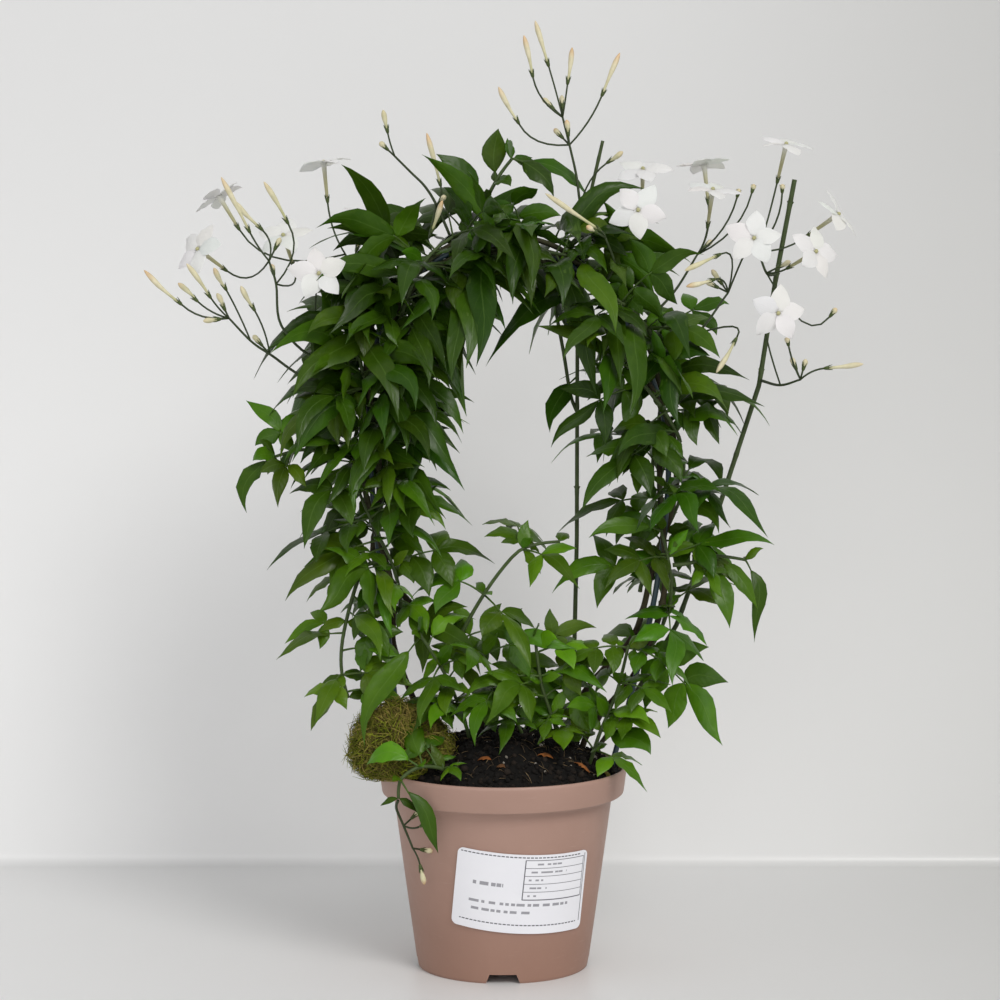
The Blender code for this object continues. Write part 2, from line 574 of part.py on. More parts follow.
def leaf_sheet(leaf, extra=0.0, start=0.0):
    """A compound leaf: a rib with pairs of leaflets and a longer last leaflet."""
    sheet = Sheet()
    length = (leaf.bend - leaf.root).length + (leaf.tip - leaf.bend).length

    def frame(share):
        point = bend_at(leaf.root, leaf.bend, leaf.tip, share)
        along = (leaf.bend - leaf.root).lerp(leaf.tip - leaf.bend, share).normalized()
        side = level(leaf.side, along)
        return point, along, side, along.cross(side)

    def rail(share, half):
        point, _, side, normal = frame(share)
        return sheet.add(point - side * half, normal), sheet.add(point + side * half, normal)

    places = PAIR_PLACES[leaf.pairs]
    base = PAIR_BASE / length
    right, left = rail(start, RIB_HALF + extra)
    for place, angle in zip(places, PAIR_ANGLES[leaf.pairs]):
        right_a, left_a = rail(place, RIB_HALF + extra)
        right_b, left_b = rail(place + base, RIB_HALF + extra)
        sheet.quad(right, right_a, left_a, left)
        sheet.quad(right_a, right_b, left_b, left_a)
        right, left = right_b, left_b
        reach = length * (LEAFLET_REACH[0] - LEAFLET_REACH[1] * place) + extra
        width = reach * LEAFLET_WIDTH * leaf.breadth + 2 * extra
        point, along, side, normal = frame(place + base / 2)
        for way in (1, -1):
            turn = math.radians(angle)
            out = (along * math.cos(turn) + side * way * math.sin(turn)).normalized()
            fall = (out - UP * LEAFLET_FALL).normalized()
            middle = point + side * way * RIB_HALF + out * reach * LEAFLET_WIDEST
            across = level(along, out)
            blade = across.cross(out) * way
            near = sheet.add(middle - across * width / 2, blade)
            far = sheet.add(middle + across * width / 2, blade)
            end = sheet.add(middle + fall * reach * (1 - LEAFLET_WIDEST), level(normal, fall))
            if way > 0:
                sheet.quad(left_a, left_b, far, near)
                sheet.faces.append((near, far, end))
            else:
                sheet.quad(right_b, right_a, near, far)
                sheet.faces.append((far, near, end))
    last = places[-1] + base if places else LONE_LEAFLET_START
    if not places:
        right_b, left_b = rail(last, RIB_HALF + extra)
        sheet.quad(right, right_b, left_b, left)
        right, left = right_b, left_b
    width = length * (1 - last) * LAST_LEAFLET_WIDTH * leaf.breadth + 2 * extra
    for share, part in LONG_LEAFLET if length > SMALL_LEAF else SHORT_LEAFLET:
        right_b, left_b = rail(last + (1 - last) * share, width * part / 2)
        sheet.quad(right, right_b, left_b, left)
        right, left = right_b, left_b
    point, _, _, normal = frame(1.0)
    sheet.faces.append((right, sheet.add(point, normal), left))
    return sheet


# --- pieces: pot, label, compost, moss, hoop ------------------------------------------------------

def inner_radius(height):
    """The pot's inner radius at a height."""
    share = (height - FLOOR_HEIGHT) / (POT_HEIGHT - RIM_HEIGHT - FLOOR_HEIGHT)
    return FOOT_RADIUS - POT_WALL + (WALL_TOP_RADIUS - FOOT_RADIUS) * share


def outer_radius(height):
    """The wall's outer radius at a height below the rim."""
    return FOOT_RADIUS + (WALL_TOP_RADIUS - FOOT_RADIUS) * height / (POT_HEIGHT - RIM_HEIGHT)


def make_pot(group, cutters):
    band = POT_HEIGHT - RIM_HEIGHT
    floor = FLOOR_HEIGHT + POT_WALL
    profile = [
        (0, floor), (inner_radius(floor), floor), (inner_radius(band), band),
        (RIM_RADIUS - RIM_WALL - RIM_TAPER, band + POT_WALL), (RIM_RADIUS - RIM_WALL, POT_HEIGHT),
        (RIM_RADIUS, POT_HEIGHT), (RIM_RADIUS - RIM_TAPER, band), (WALL_TOP_RADIUS, band),
        (FOOT_RADIUS, 0), (FOOT_RADIUS - FOOT_WIDTH, 0),
        (FOOT_RADIUS - FOOT_WIDTH, FLOOR_HEIGHT), (0, FLOOR_HEIGHT),
    ]
    pot = turned("pot", profile, POT_SIDES, group)
    for k in range(NOTCH_COUNT // 2):
        bpy.ops.mesh.primitive_cube_add(size=1)
        cutter = bpy.context.object
        cutter.name = f"notch_cutter_{k + 1}"
        cutter.scale = (3 * FOOT_RADIUS, NOTCH_WIDTH, 2 * NOTCH_HEIGHT)
        cutter.rotation_euler.z = math.pi / 2 * k
        cutter.hide_render = True
        cutter.display_type = "WIRE"
        move_to(cutter, cutters)
        cut = pot.modifiers.new(f"notch_{k + 1}", "BOOLEAN")
        cut.operation = "DIFFERENCE"
        cut.object = cutter
    dress(pot, material("pot_plastic", COLOURS["pot"], 0.5))
    return pot


def label_spot(x, y):
    """The place and outward direction of a point of the label, rolled on the cone of the wall."""
    slope = (WALL_TOP_RADIUS - FOOT_RADIUS) / (POT_HEIGHT - RIM_HEIGHT)
    lean = math.atan(slope)
    across = x * math.cos(LABEL_TILT) - y * math.sin(LABEL_TILT)
    along = x * math.sin(LABEL_TILT) + y * math.cos(LABEL_TILT)
    along += outer_radius(LABEL_MIDDLE_HEIGHT) / math.sin(lean)
    slant = math.hypot(across, along)
    height = slant * math.cos(lean) - FOOT_RADIUS / slope
    angle = LABEL_ANGLE + math.atan2(across, along) / math.sin(lean)
    outward = Vector((math.sin(angle), -math.cos(angle), 0))
    return outward * (outer_radius(height) + 2 * GAP + LABEL_THICKNESS / 2) + UP * height, outward


def make_label(group):
    """A thin sheet with cut corners."""
    sheet = Sheet()
    half_width, half_height = LABEL_WIDTH / 2, LABEL_HEIGHT / 2
    middle = [-1 + k / 3 for k in range(7)]
    columns = [-half_width] + [x * (half_width - LABEL_CORNER) for x in middle] + [half_width]
    rows = [-half_height, LABEL_CORNER - half_height, half_height - LABEL_CORNER, half_height]
    spots = {}
    for i, x in enumerate(columns):
        for j, y in enumerate(rows):
            if i in (0, len(columns) - 1) and j in (0, len(rows) - 1):
                continue
            spots[i, j] = sheet.add(*label_spot(x, y))
    for i in range(len(columns) - 1):
        for j in range(len(rows) - 1):
            corners = [(i, j), (i + 1, j), (i + 1, j + 1), (i, j + 1)]
            kept = [spots[c] for c in corners if c in spots]
            sheet.faces.append(tuple(kept[:3]))
            if len(kept) == 4:
                sheet.faces.append((kept[0], kept[2], kept[3]))
    label = object_from("label", *sheet.solid(LABEL_THICKNESS), group)
    dress(label, material("label_paper", COLOURS["label"], 0.6))
    return label


def bumps(x, y):
    """A rough up and down of the compost's surface, between -1 and 1."""
    return (math.sin(310 * x + 1.3) * math.cos(270 * y - 0.4) + math.sin(640 * x - 510 * y) * 0.6) / 1.6


def soil_height(reach):
    """The height of the compost's dome at a distance from the middle."""
    return SOIL_HEIGHT + SOIL_RISE * (1 - (reach / SOIL_EDGE) ** 2)


def make_soil(group, sleeves):
    """The compost fills the pot, with a rough domed top and a plain hole for each stem."""
    floor = FLOOR_HEIGHT + POT_WALL + GAP
    band = POT_HEIGHT - RIM_HEIGHT
    reaches = [SOIL_EDGE * k / SOIL_RINGS for k in range(SOIL_RINGS + 1)]
    profile = [(reach, soil_height(reach)) for reach in reaches]
    profile += [
        (SOIL_EDGE - RIM_TAPER, band + POT_WALL + 2 * GAP), (inner_radius(band) - 2 * GAP, band),
        (inner_radius(floor) - 2 * GAP, floor), (0, floor),
    ]
    soil = turned("soil", profile, SOIL_SIDES, group)
    soil.data = evaluated_mesh(soil)
    soil.modifiers.clear()
    for spot in soil.data.vertices:
        if spot.co.z > SOIL_HEIGHT - MM:
            spot.co.z += SOIL_BUMP * bumps(spot.co.x, spot.co.y)
    boolean(soil, "DIFFERENCE", sleeves)
    dress(soil, material("compost", COLOURS["soil"], 0.95))
    return soil


def make_moss(group, dents):
    """A rough clump that lies on the compost and over the pot's rim."""
    bpy.ops.mesh.primitive_ico_sphere_add(subdivisions=2, radius=1)
    moss = bpy.context.object
    moss.name = "moss"
    move_to(moss, group)
    rng = random.Random(7)
    for spot in moss.data.vertices:
        grow = 1 + rng.uniform(-MOSS_BUMP, MOSS_BUMP)
        spot.co = vector([m + s * c * grow for m, s, c in zip(MOSS_MIDDLE, MOSS_SIZE, spot.co)])
    inside = RIM_RADIUS - RIM_ROOM
    outside = RIM_RADIUS + 2 * GAP
    reaches = [inside * k / SOIL_RINGS for k in range(SOIL_RINGS + 1)]
    profile = [(reach, soil_height(reach) + SOIL_CLEARANCE) for reach in reaches]
    profile += [(inside, POT_HEIGHT + GAP), (outside, POT_HEIGHT + GAP), (outside, 0), (0, 0)]
    dent = turned("moss_dent", profile, POT_SIDES, dents)
    dent.data = evaluated_mesh(dent)
    dent.modifiers.clear()
    boolean(moss, "DIFFERENCE", dents)
    dress(moss, material("moss", COLOURS["moss"], 0.95), 80)
    return moss


# --- pieces: sprays and blooms --------------------------------------------------------------------

def bud_tube(name, fork, calyx, tip, group):
    """A twig that curves up into a calyx and a long pointed bud."""
    heading = (tip - calyx).normalized()
    turn = calyx - heading * (calyx - fork).length * 0.5
    points = [fork]
    if (calyx - fork).length >= SHORT_TWIG:
        points.append(bend_at(fork, turn, calyx, 0.5))
    radii = [TWIG_RADIUS] * len(points) + BUD_RADII
    return tube(name, points + [calyx, calyx.lerp(tip, BUD_WIDEST), tip], radii, group, 3)


def calyx_tube(name, fork, base, heading, group):
    """A twig that ends in an open calyx at a bloom's foot."""
    start = base - heading * CALYX_LENGTH
    turn = start - heading * (start - fork).length * 0.5
    points = [fork, bend_at(fork, turn, start, 0.5), start, base - heading * GAP]
    return tube(name, points, [TWIG_RADIUS] * 3 + [CALYX_MOUTH], group, 3)


def make_spray(spray, hosts, group, look):
    """The main stalk with its twigs, joined into one body, a hair off the stem it grows from."""
    stem = [vector(p) for p in spray.stem]
    stem[0] = seat(stem[1], hosts)
    points = stem if len(stem) > 3 else smooth(stem, 2)
    body = tube(spray.name, points, taper(points, *STALK_RADII), group, 3)
    pieces = collection(f"{spray.name}_pieces")
    for k, (fork, calyx, tip) in enumerate(spray.buds):
        bud_tube(f"{spray.name}_bud_{k}", stem[fork], vector(calyx), vector(tip), pieces)
    for fork, name in spray.blooms:
        bloom = BLOOMS[name]
        heading = Vector(bloom.facing).normalized()
        base = vector(bloom.middle) - heading * FLOWER_TUBE
        calyx_tube(f"{spray.name}_{name}", stem[fork], base, heading, pieces)
    boolean(body, "UNION", pieces, "MANIFOLD")
    dress(body, look)
    return body


def make_bloom(name, bloom, group, look):
    """Five pointed lobes round the mouth of a slim tube, in one body."""
    heading = Vector(bloom.facing).normalized()
    side = level(UP if abs(heading.z) < 0.8 else BACK, heading)
    other = heading.cross(side)
    middle = vector(bloom.middle)
    sheet = Sheet()
    tilt = random.Random(name)
    spin = tilt.uniform(0, math.tau)

    def place(angle, radius, rise):
        out = side * math.cos(angle) + other * math.sin(angle)
        return middle + out * radius + heading * rise

    step = math.tau / LOBES
    mouth = [sheet.add(place(spin + step * (k - 0.5), LOBE_ROOT, 0), heading) for k in range(LOBES)]
    for k in range(LOBES):
        angle = spin + step * k
        reach = LOBE_REACH * tilt.uniform(0.92, 1.05)
        rise = tilt.uniform(-0.8, 0.6) * MM
        widest = reach * LOBE_WIDEST
        half = math.atan2(LOBE_WIDTH / 2, widest)
        low, high = mouth[k], mouth[(k + 1) % LOBES]
        near = sheet.add(place(angle - half, widest, rise), heading)
        far = sheet.add(place(angle + half, widest, rise), heading)
        end = sheet.add(place(angle, reach, rise * 2 - LOBE_DROOP), heading)
        sheet.faces += [(low, near, far), (low, far, high), (near, end, far)]
    disc = [(mouth[0], mouth[k], mouth[k + 1]) for k in range(1, LOBES - 1)]
    sheet.faces += disc
    points, faces = sheet.solid(PETAL_THICKNESS, disc)
    ring = [spot + len(sheet.points) for spot in mouth]
    foot = []
    for spot in mouth:
        out = level(points[spot] - middle, heading)
        points.append(middle - heading * (FLOWER_TUBE - GAP) + out * TUBE_FOOT)
        foot.append(len(points) - 1)
    for k in range(LOBES):
        after = (k + 1) % LOBES
        faces += [(ring[k], foot[k], foot[after]), (ring[k], foot[after], ring[after])]
    faces += [(foot[0], foot[k + 1], foot[k]) for k in range(1, LOBES - 1)]
    made = object_from(name, points, faces, group)
    dress(made, look)
    return made


# --- pieces: leafy shoots -------------------------------------------------------------------------

class Room:
    """What already stands in the space, kept so that leaves can be bent clear of it."""

    def __init__(self):
        self.placed = []

    def add(self, owner, points, faces):
        tree = BVHTree.FromPolygons(points, faces)
        low = Vector([min(p[k] for p in points) for k in range(3)])
        high = Vector([max(p[k] for p in points) for k in range(3)])
        self.placed.append((owner, tree, low, high))

    def add_object(self, thing, owner=None):
        mesh = evaluated_mesh(thing)
        points = [thing.matrix_world @ spot.co for spot in mesh.vertices]
        self.add(owner or thing.name, points, [tuple(face.vertices) for face in mesh.polygons])
        bpy.data.meshes.remove(mesh)

    def clear_for(self, points, faces, ignored):
        tree = BVHTree.FromPolygons(points, faces)
        low = Vector([min(p[k] for p in points) for k in range(3)])
        high = Vector([max(p[k] for p in points) for k in range(3)])
        for owner, other, other_low, other_high in self.placed:
            if owner in ignored or any(low[k] > other_high[k] or high[k] < other_low[k] for k in range(3)):
                continue
            if tree.overlap(other):
                return False
        return True


def leaves_opening(points):
    """True where the outline of the points, seen from the front, stays out of the openings."""
    flat = [(p.x / MM, p.z / MM) for p in points]
    hull = [Vector(flat[k]) for k in convex_hull_2d([Vector(p) for p in flat])]
    for (x_low, x_high), (z_low, z_high) in OPENINGS:
        box = [Vector((x, z)) for x in (x_low, x_high) for z in (z_low, z_high)]
        edges = [b - a for a, b in zip(hull, hull[1:] + hull[:1])] + [Vector((1, 0)), Vector((0, 1))]
        normals = [Vector((-edge.y, edge.x)) for edge in edges]
        if not any(apart(hull, box, normal) for normal in normals):
            return False
    return True


def apart(shape, other, axis):
    """True where two outlines don't meet along an axis."""
    here = [p.dot(axis) for p in shape]
    there = [p.dot(axis) for p in other]
    return max(here) <= min(there) or max(there) <= min(here)


def shoot_route(shoot):
    """Along the hoop outside its vine, from a hair off the vine's bark."""
    way = 1 if shoot.end > shoot.start else -1
    phase = VINES[shoot.vine].phase
    count = round(abs(shoot.end - shoot.start) * MM / SHOOT_STEP)
    foot = beside_hoop(shoot.start * MM, SHOOT_OFFSET - GAP, phase)
    first = beside_hoop((shoot.start + way * 4) * MM, SHOOT_OFFSET, phase)
    rest = [beside_hoop((shoot.start + (shoot.end - shoot.start) * k / count) * MM, SHOOT_OFFSET, phase)
            for k in range(1, count + 1)]
    return Route([foot, first] + rest)


def leaf_choice(seed, spot, along, outward, hand, size, attempt):
    """One of the ways in which a leaf may stand at its place on the stem."""
    rng = random.Random(f"{seed} {attempt}")
    loose = 1 + 0.05 * attempt
    across = along.cross(outward)
    turn = hand * math.radians(70 + rng.uniform(-25, 25) * loose)
    heading = outward * math.cos(turn) + across * math.sin(turn)
    heading = (heading + along * rng.uniform(-0.1, 0.5) + UP * rng.uniform(-0.1, 0.4)).normalized()
    length = size * rng.uniform(0.85, 1.2) * (1 - 0.012 * attempt) * MM
    onward = (heading - UP * rng.uniform(0.7, 1.6)).normalized()
    root = spot - heading * GAP
    bend = root + heading * length * 0.5
    side = level(LIGHT, heading).cross(heading)
    roll = math.radians(rng.uniform(-35, 35))
    side = (side * math.cos(roll) + heading.cross(side) * math.sin(roll)).normalized()
    pairs = rng.choice((1, 1, 2, 2, 2)) if size > 36 else 1
    return Leaf(root, bend, bend + onward * length * 0.5, side, pairs, rng.uniform(0.9, 1.15))


def chosen_leaf(seed, root, over, tip, pairs, breadth, attempt):
    """A leaf with a given tip, shifted a little further at each attempt."""
    rng = random.Random(f"{seed} chosen {attempt}")
    shift = Vector([rng.uniform(-1, 1) * 0.7 * attempt * MM for _ in range(3)])
    end = vector(tip) + shift
    bend = root.lerp(end, 0.5) + vector(over)
    heading = (bend - root).normalized()
    side = level(LIGHT, heading).cross(heading)
    return Leaf(root - heading * GAP, bend, end, side, pairs, breadth)


def grow_leaf(owner, choices, room, outline):
    """The first of the choices that is clear of everything, as a leaf, or None."""
    stem = f"{owner} stem"
    for leaf in choices:
        points, faces = leaf_sheet(leaf, LEAF_MARGIN / 2).solid(LEAF_THICKNESS + LEAF_MARGIN)
        if max(abs(p.y) for p in points) > DEPTH_LIMIT or not leaves_opening(outline + points):
            continue
        blade = leaf_sheet(leaf, LEAF_MARGIN / 2, PETIOLE_SHARE).solid(LEAF_THICKNESS + LEAF_MARGIN)
        if room.clear_for(points, faces, (stem, owner)) and room.clear_for(*blade, (stem,)):
            outline += points
            room.add(owner, *leaf_sheet(leaf).solid(LEAF_THICKNESS))
            return leaf
    return None


def leaf_choices(name, route, place, hand, size):
    """The ways in which a leaf may stand at a place along a shoot, on one hand of it."""
    spot, along = route.at(place)
    hub = HOOP.nearest(spot)[0]
    outward = level(spot - hub if (spot - hub).length < NEAR_HOOP else OPEN_SIDE, along)
    seed = f"{name} {round(place / MM)} {hand}"
    return [leaf_choice(seed, spot, along, outward, hand, size, n) for n in range(LEAF_TRIES)]


# A leafy stem: leaf length, and the first leaf and the distance between pairs in mm along the route.
Shoot = namedtuple("Shoot", "name route radius size first spacing look")
# Its stem, the collection of the pieces to join to it, and the corners of all of them so far.
Stem = namedtuple("Stem", "shoot thing pieces outline")


def lone_leaves(shoot):
    """The choices for each leaf of a shoot that has a place of its own."""
    wanted = []
    for k, (owner, root, over, tip, pairs, breadth) in enumerate(CHOSEN_LEAVES):
        if owner == shoot.name:
            spot = shoot.route.nearest(vector(root))[0]
            tries = range(LEAF_TRIES // 2)
            wanted.append([chosen_leaf(f"{owner} {k}", spot, over, tip, pairs, breadth, n) for n in tries])
    return wanted


def paired_leaves(shoot):
    """The choices for each of the leaves that stand in pairs along a shoot."""
    wanted = []
    place = shoot.first * MM
    while shoot.size and place < shoot.route.lengths[-1]:
        for hand in (-1, 1):
            wanted.append(leaf_choices(shoot.name, shoot.route, place, hand, shoot.size))
        place += shoot.spacing * MM
    return wanted


def make_stem(shoot, room, group):
    """The stem of a shoot, with the collection of pieces to join to it and its corners."""
    points = shoot.route.points
    thing = tube(shoot.name, points, taper(points, shoot.radius, shoot.radius * STEM_TAPER), group)
    room.add_object(thing, f"{shoot.name} stem")
    pieces = collection(f"{shoot.name}_leaves")
    outline = [thing.matrix_world @ spot.co for spot in thing.data.vertices]
    branch = [vector(p) for p in BRANCHES.get(shoot.name, [])]
    if branch:
        room.add_object(tube(f"{shoot.name}_branch", branch, [BRANCH_RADIUS] * len(branch), pieces))
    return Stem(shoot, thing, pieces, outline + branch)


def grow_leaves(stems, room):
    """Every leaf that finds room: first the lone ones of all shoots, then those in pairs."""
    for wanted in (lone_leaves, paired_leaves):
        for stem in stems:
            for choices in wanted(stem.shoot):
                leaf = grow_leaf(stem.shoot.name, choices, room, stem.outline)
                if leaf:
                    points, faces = leaf_sheet(leaf).solid(LEAF_THICKNESS)
                    name = f"{stem.thing.name}_leaf_{len(stem.pieces.objects)}"
                    object_from(name, points, faces, stem.pieces)


# --- the whole plant ------------------------------------------------------------------------------

def sleeve(route, radius, cutters):
    """A shape a little wider than a stem's foot, which cuts the stem's hole in the compost."""
    top = next(k for k, p in enumerate(route.points) if p.z > soil_height(p.xy.length) + SLEEVE_TOP)
    foot = route.points[0] - (route.points[1] - route.points[0]).normalized() * 2 * GAP
    points = [foot] + route.points[1:top + 1]
    return tube("sleeve", points, [radius + SLEEVE_GAP] * len(points), cutters)


def rooted(points, spans=1):
    """A route from a straight foot in the compost through the points."""
    spots = [vector(p) for p in points]
    return Route([spots[0] - UP * STEM_SINK] + (smooth(spots, spans) if spans > 1 else spots))


def main():
    clear_scene()
    parts = collection(NAME)
    cutters = collection("cutters")
    sleeves = collection("sleeves")
    room = Room()

    leaf_look = material("leaf", COLOURS["leaf"], 0.4)
    vine_look = material("vine_bark", COLOURS["vine"], 0.8)
    stem_look = material("green_stem", COLOURS["stem"], 0.5)
    spray_look = material("spray", COLOURS["spray"], 0.5)
    petal_look = material("petal", COLOURS["petal"], 0.5)

    make_pot(parts, cutters)
    make_label(parts)
    hoop = Route(HOOP.even(HOOP_STEP))
    wire = tube("hoop", hoop.points, [HOOP_RADIUS] * len(hoop.points), parts, 6)
    dress(wire, material("hoop_wire", COLOURS["hoop"], 0.4, 0.6))
    hosts = []
    for vine in VINES:
        route = vine_route(vine)
        made = tube(vine.name, route.points, taper(route.points, *VINE_RADII), parts)
        dress(made, vine_look)
        hosts.append((route, VINE_RADII[0]))
    centre = rooted(STEM_CENTRE)
    right = rooted(STEM_RIGHT)
    hosts += [(centre, STEM_RADIUS), (right, STEM_RADIUS)]
    stem = tube("stem_right", right.points, [STEM_RADIUS] * len(right.points), parts)
    dress(stem, stem_look)
    feet = [(hoop, HOOP_RADIUS), (Route(hoop.points[::-1]), HOOP_RADIUS)] + hosts

    shoots = [Shoot("stem_centre", centre, STEM_RADIUS, 0, 0, 0, stem_look)]
    for shoot in HOOP_SHOOTS:
        route = shoot_route(shoot)
        shoots.append(Shoot(shoot.name, route, SHOOT_RADIUS, shoot.size,
                            FIRST_LEAF_HOOP, HOOP_SHOOT_SPACING, leaf_look))
        hosts.append((route, SHOOT_RADIUS))
    for shoot in FREE_SHOOTS:
        if shoot.points[0][2] > ROOTED_BELOW:
            points = [vector(p) for p in shoot.points]
            route = Route(smooth([seat(points[1], hosts)] + points[1:], 2))
            first = FIRST_LEAF_FREE
        else:
            route = rooted(shoot.points, 2)
            first = FIRST_LEAF_ROOTED
            feet.append((route, SHOOT_RADIUS))
        shoots.append(Shoot(shoot.name, route, SHOOT_RADIUS, shoot.size, first, shoot.spacing, leaf_look))
    hosts += [(shoot.route, shoot.radius) for shoot in shoots[-len(FREE_SHOOTS):]]

    for route, radius in feet:
        sleeve(route, radius, sleeves)
    make_soil(parts, sleeves)
    make_moss(parts, collection("moss_dents"))
    for spray in SPRAYS:
        make_spray(spray, hosts, parts, spray_look)
    for name, bloom in BLOOMS.items():
        make_bloom(name, bloom, parts, petal_look)
    for thing in parts.objects:
        room.add_object(thing)
    stems = [make_stem(shoot, room, parts) for shoot in shoots]
    grow_leaves(stems, room)
    for stem in stems:
        boolean(stem.thing, "UNION", stem.pieces, "MANIFOLD")
        dress(stem.thing, stem.shoot.look)


main()
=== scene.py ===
"""Potted pink jasmine: the finish of every piece, laid out as a small Blender add-on.

Metres, +Z up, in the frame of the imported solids. Run as a script, it builds the whole scene.
The plant's routes and places repeat the growth plan of the solids, in millimetres.
"""

import math
import random
from collections import namedtuple
from functools import reduce

import bpy
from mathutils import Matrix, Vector, noise
from mathutils.kdtree import KDTree


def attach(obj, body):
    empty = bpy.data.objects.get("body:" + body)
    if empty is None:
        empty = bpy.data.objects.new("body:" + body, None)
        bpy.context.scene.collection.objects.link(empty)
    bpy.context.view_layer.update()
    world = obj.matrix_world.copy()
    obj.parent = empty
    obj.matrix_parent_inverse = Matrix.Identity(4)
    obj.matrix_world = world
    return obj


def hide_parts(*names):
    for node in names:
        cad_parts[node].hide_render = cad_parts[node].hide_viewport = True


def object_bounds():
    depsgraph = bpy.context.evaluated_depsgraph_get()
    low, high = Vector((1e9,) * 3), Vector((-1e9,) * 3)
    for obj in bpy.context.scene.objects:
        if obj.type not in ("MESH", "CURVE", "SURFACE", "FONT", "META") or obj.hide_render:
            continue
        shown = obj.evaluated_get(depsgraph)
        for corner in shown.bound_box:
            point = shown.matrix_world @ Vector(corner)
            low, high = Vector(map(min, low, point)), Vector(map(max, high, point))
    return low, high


bl_info = {
    "name": "Potted Pink Jasmine",
    "version": (1, 0, 0),
    "blender": (4, 5, 0),
    "location": "View3D > Sidebar > Jasmine",
    "description": "Builds a hoop-trained jasmine with fine leaves, blooms, compost and pot",
    "category": "Object",
}

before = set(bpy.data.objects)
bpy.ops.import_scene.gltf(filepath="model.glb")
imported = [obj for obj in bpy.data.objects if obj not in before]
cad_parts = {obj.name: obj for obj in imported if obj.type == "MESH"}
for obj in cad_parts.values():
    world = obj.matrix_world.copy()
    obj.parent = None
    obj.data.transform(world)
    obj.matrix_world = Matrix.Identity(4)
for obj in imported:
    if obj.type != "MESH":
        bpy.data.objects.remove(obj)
CAD_LOW, CAD_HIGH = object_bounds()

MM = 0.001
GAP = 0.3 * MM
UP = Vector((0, 0, 1))
BACK = Vector((0, 1, 0))
LIGHT = Vector((0, -0.75, 0.65))  # the leaves turn their faces this way
OPEN_SIDE = Vector((0, -0.6, 1))  # a free shoot's leaves grow this way

# --- the growth plan: the routes, leaves, sprays and blooms of the solids, in millimetres ---

SAME_POINT = 0.02 * MM  # a planned tip this near a corner of the solid is there

# Hoop: x and z of the wire, left foot to right foot.
HOOP_RADIUS = 1.25 * MM
HOOP_POINTS = [
    (-38, 50), (-45, 84), (-48, 120), (-52, 160), (-57, 205), (-59, 245), (-54, 284), (-34, 311),
    (-4, 321), (26, 314), (52, 289), (68, 255), (73, 222), (68, 170), (57, 122), (47, 84), (39, 50),
]

# Vines wind round the hoop in quarter phases.
VINE_RADII = (1.5 * MM, 1.1 * MM)
VINE_OFFSET = 3.9 * MM
VINE_STEP = 14 * MM
GUIDE_SPANS = 4
TURN = 2 * math.pi / (118 * MM)
SHOOT_RADIUS = 1.0 * MM
SHOOT_OFFSET = 7.2 * MM
SHOOT_STEP = 15 * MM
STEM_SINK = 22 * MM  # depth of a stem or wire in the compost
SEAT_GAP = 0.48 * MM  # left between a side stem and the stem it grows from
NEAR_HOOP = 9 * MM  # the leaves of a stem this close to the hoop grow away from it

# Leaves: share of a leaf's length where each pair of leaflets and the last leaflet start.
LEAF_THICKNESS = 0.7 * MM
RIB_HALF = 0.6 * MM
PAIR_BASE = 1.7 * MM
PAIR_PLACES = {0: (), 1: (0.28,), 2: (0.17, 0.39)}
PAIR_ANGLES = {0: (), 1: (66,), 2: (82, 68)}
LEAFLET_REACH = (0.41, 0.12)  # of the leaf's length, and how much less for each share along it
LEAFLET_WIDTH = 0.48
LAST_LEAFLET_WIDTH = 0.31
LONE_LEAFLET_START = 0.16
LEAFLET_WIDEST = 0.45
LEAFLET_FALL = 0.7
LEAF_TRIES = 40

Vine = namedtuple("Vine", "name guide join end phase")
VINES = [
    Vine("vine_left_1", [(-9, 8, 88), (-10, 8, 112), (-17, 7, 136), (-33, 9, 152)], 134, 380, 0),
    Vine("vine_left_2", [(-30, 16, 88), (-34, 16, 104), (-42, 12, 122)], 96, 345, 180),
    Vine("vine_right_1", [(24, 9, 88), (31, 8, 112), (44, 8, 131), (56, 9, 142)], 503, 245, 90),
    Vine("vine_right_2", [(34, 5, 88), (38, 9, 103), (49, 10, 117)], 535, 290, 270),
]

# Straight stems, reaching up past the wreath to a cut end, and one thinner side branch.
STEM_CENTRE = [
    (30, 14, 88), (32, 14, 140), (33, 14, 190), (33, 14, 250), (33, 14, 300), (38, 14, 340), (44, 14, 366),
]
BRANCHES = {"stem_centre": [(33, 14, 246), (30, 14, 254), (27, 13, 272), (23, 12, 293)]}
STEM_RIGHT = [
    (38, 16, 88), (57, 20, 114), (78, 19, 150), (95, 18, 198), (114, 17, 258), (121, 17, 305),
    (129, 17, 349),
]
STEM_RADIUS = 1.1 * MM
STEM_TAPER = 0.7  # share of its radius a leafy stem keeps at the tip
BRANCH_RADIUS = 0.8 * MM

# Side shoots on the hoop: parent vine, start and end along the hoop in mm, leaf length.
HoopShoot = namedtuple("HoopShoot", "name vine start end size")
HOOP_SHOOTS = [HoopShoot(*row) for row in [
    ("shoot_left_1", 1, 102, 164, 54), ("shoot_left_2", 0, 140, 202, 58),
    ("shoot_left_3", 1, 172, 232, 62), ("shoot_left_4", 0, 210, 270, 66),
    ("shoot_left_5", 1, 240, 300, 66), ("shoot_top_1", 0, 278, 338, 56),
    ("shoot_right_1", 3, 529, 467, 50), ("shoot_right_2", 2, 497, 437, 56),
    ("shoot_right_3", 3, 459, 399, 62), ("shoot_right_4", 2, 429, 369, 62),
    ("shoot_right_5", 3, 391, 333, 58), ("shoot_top_2", 2, 361, 301, 54),
]]

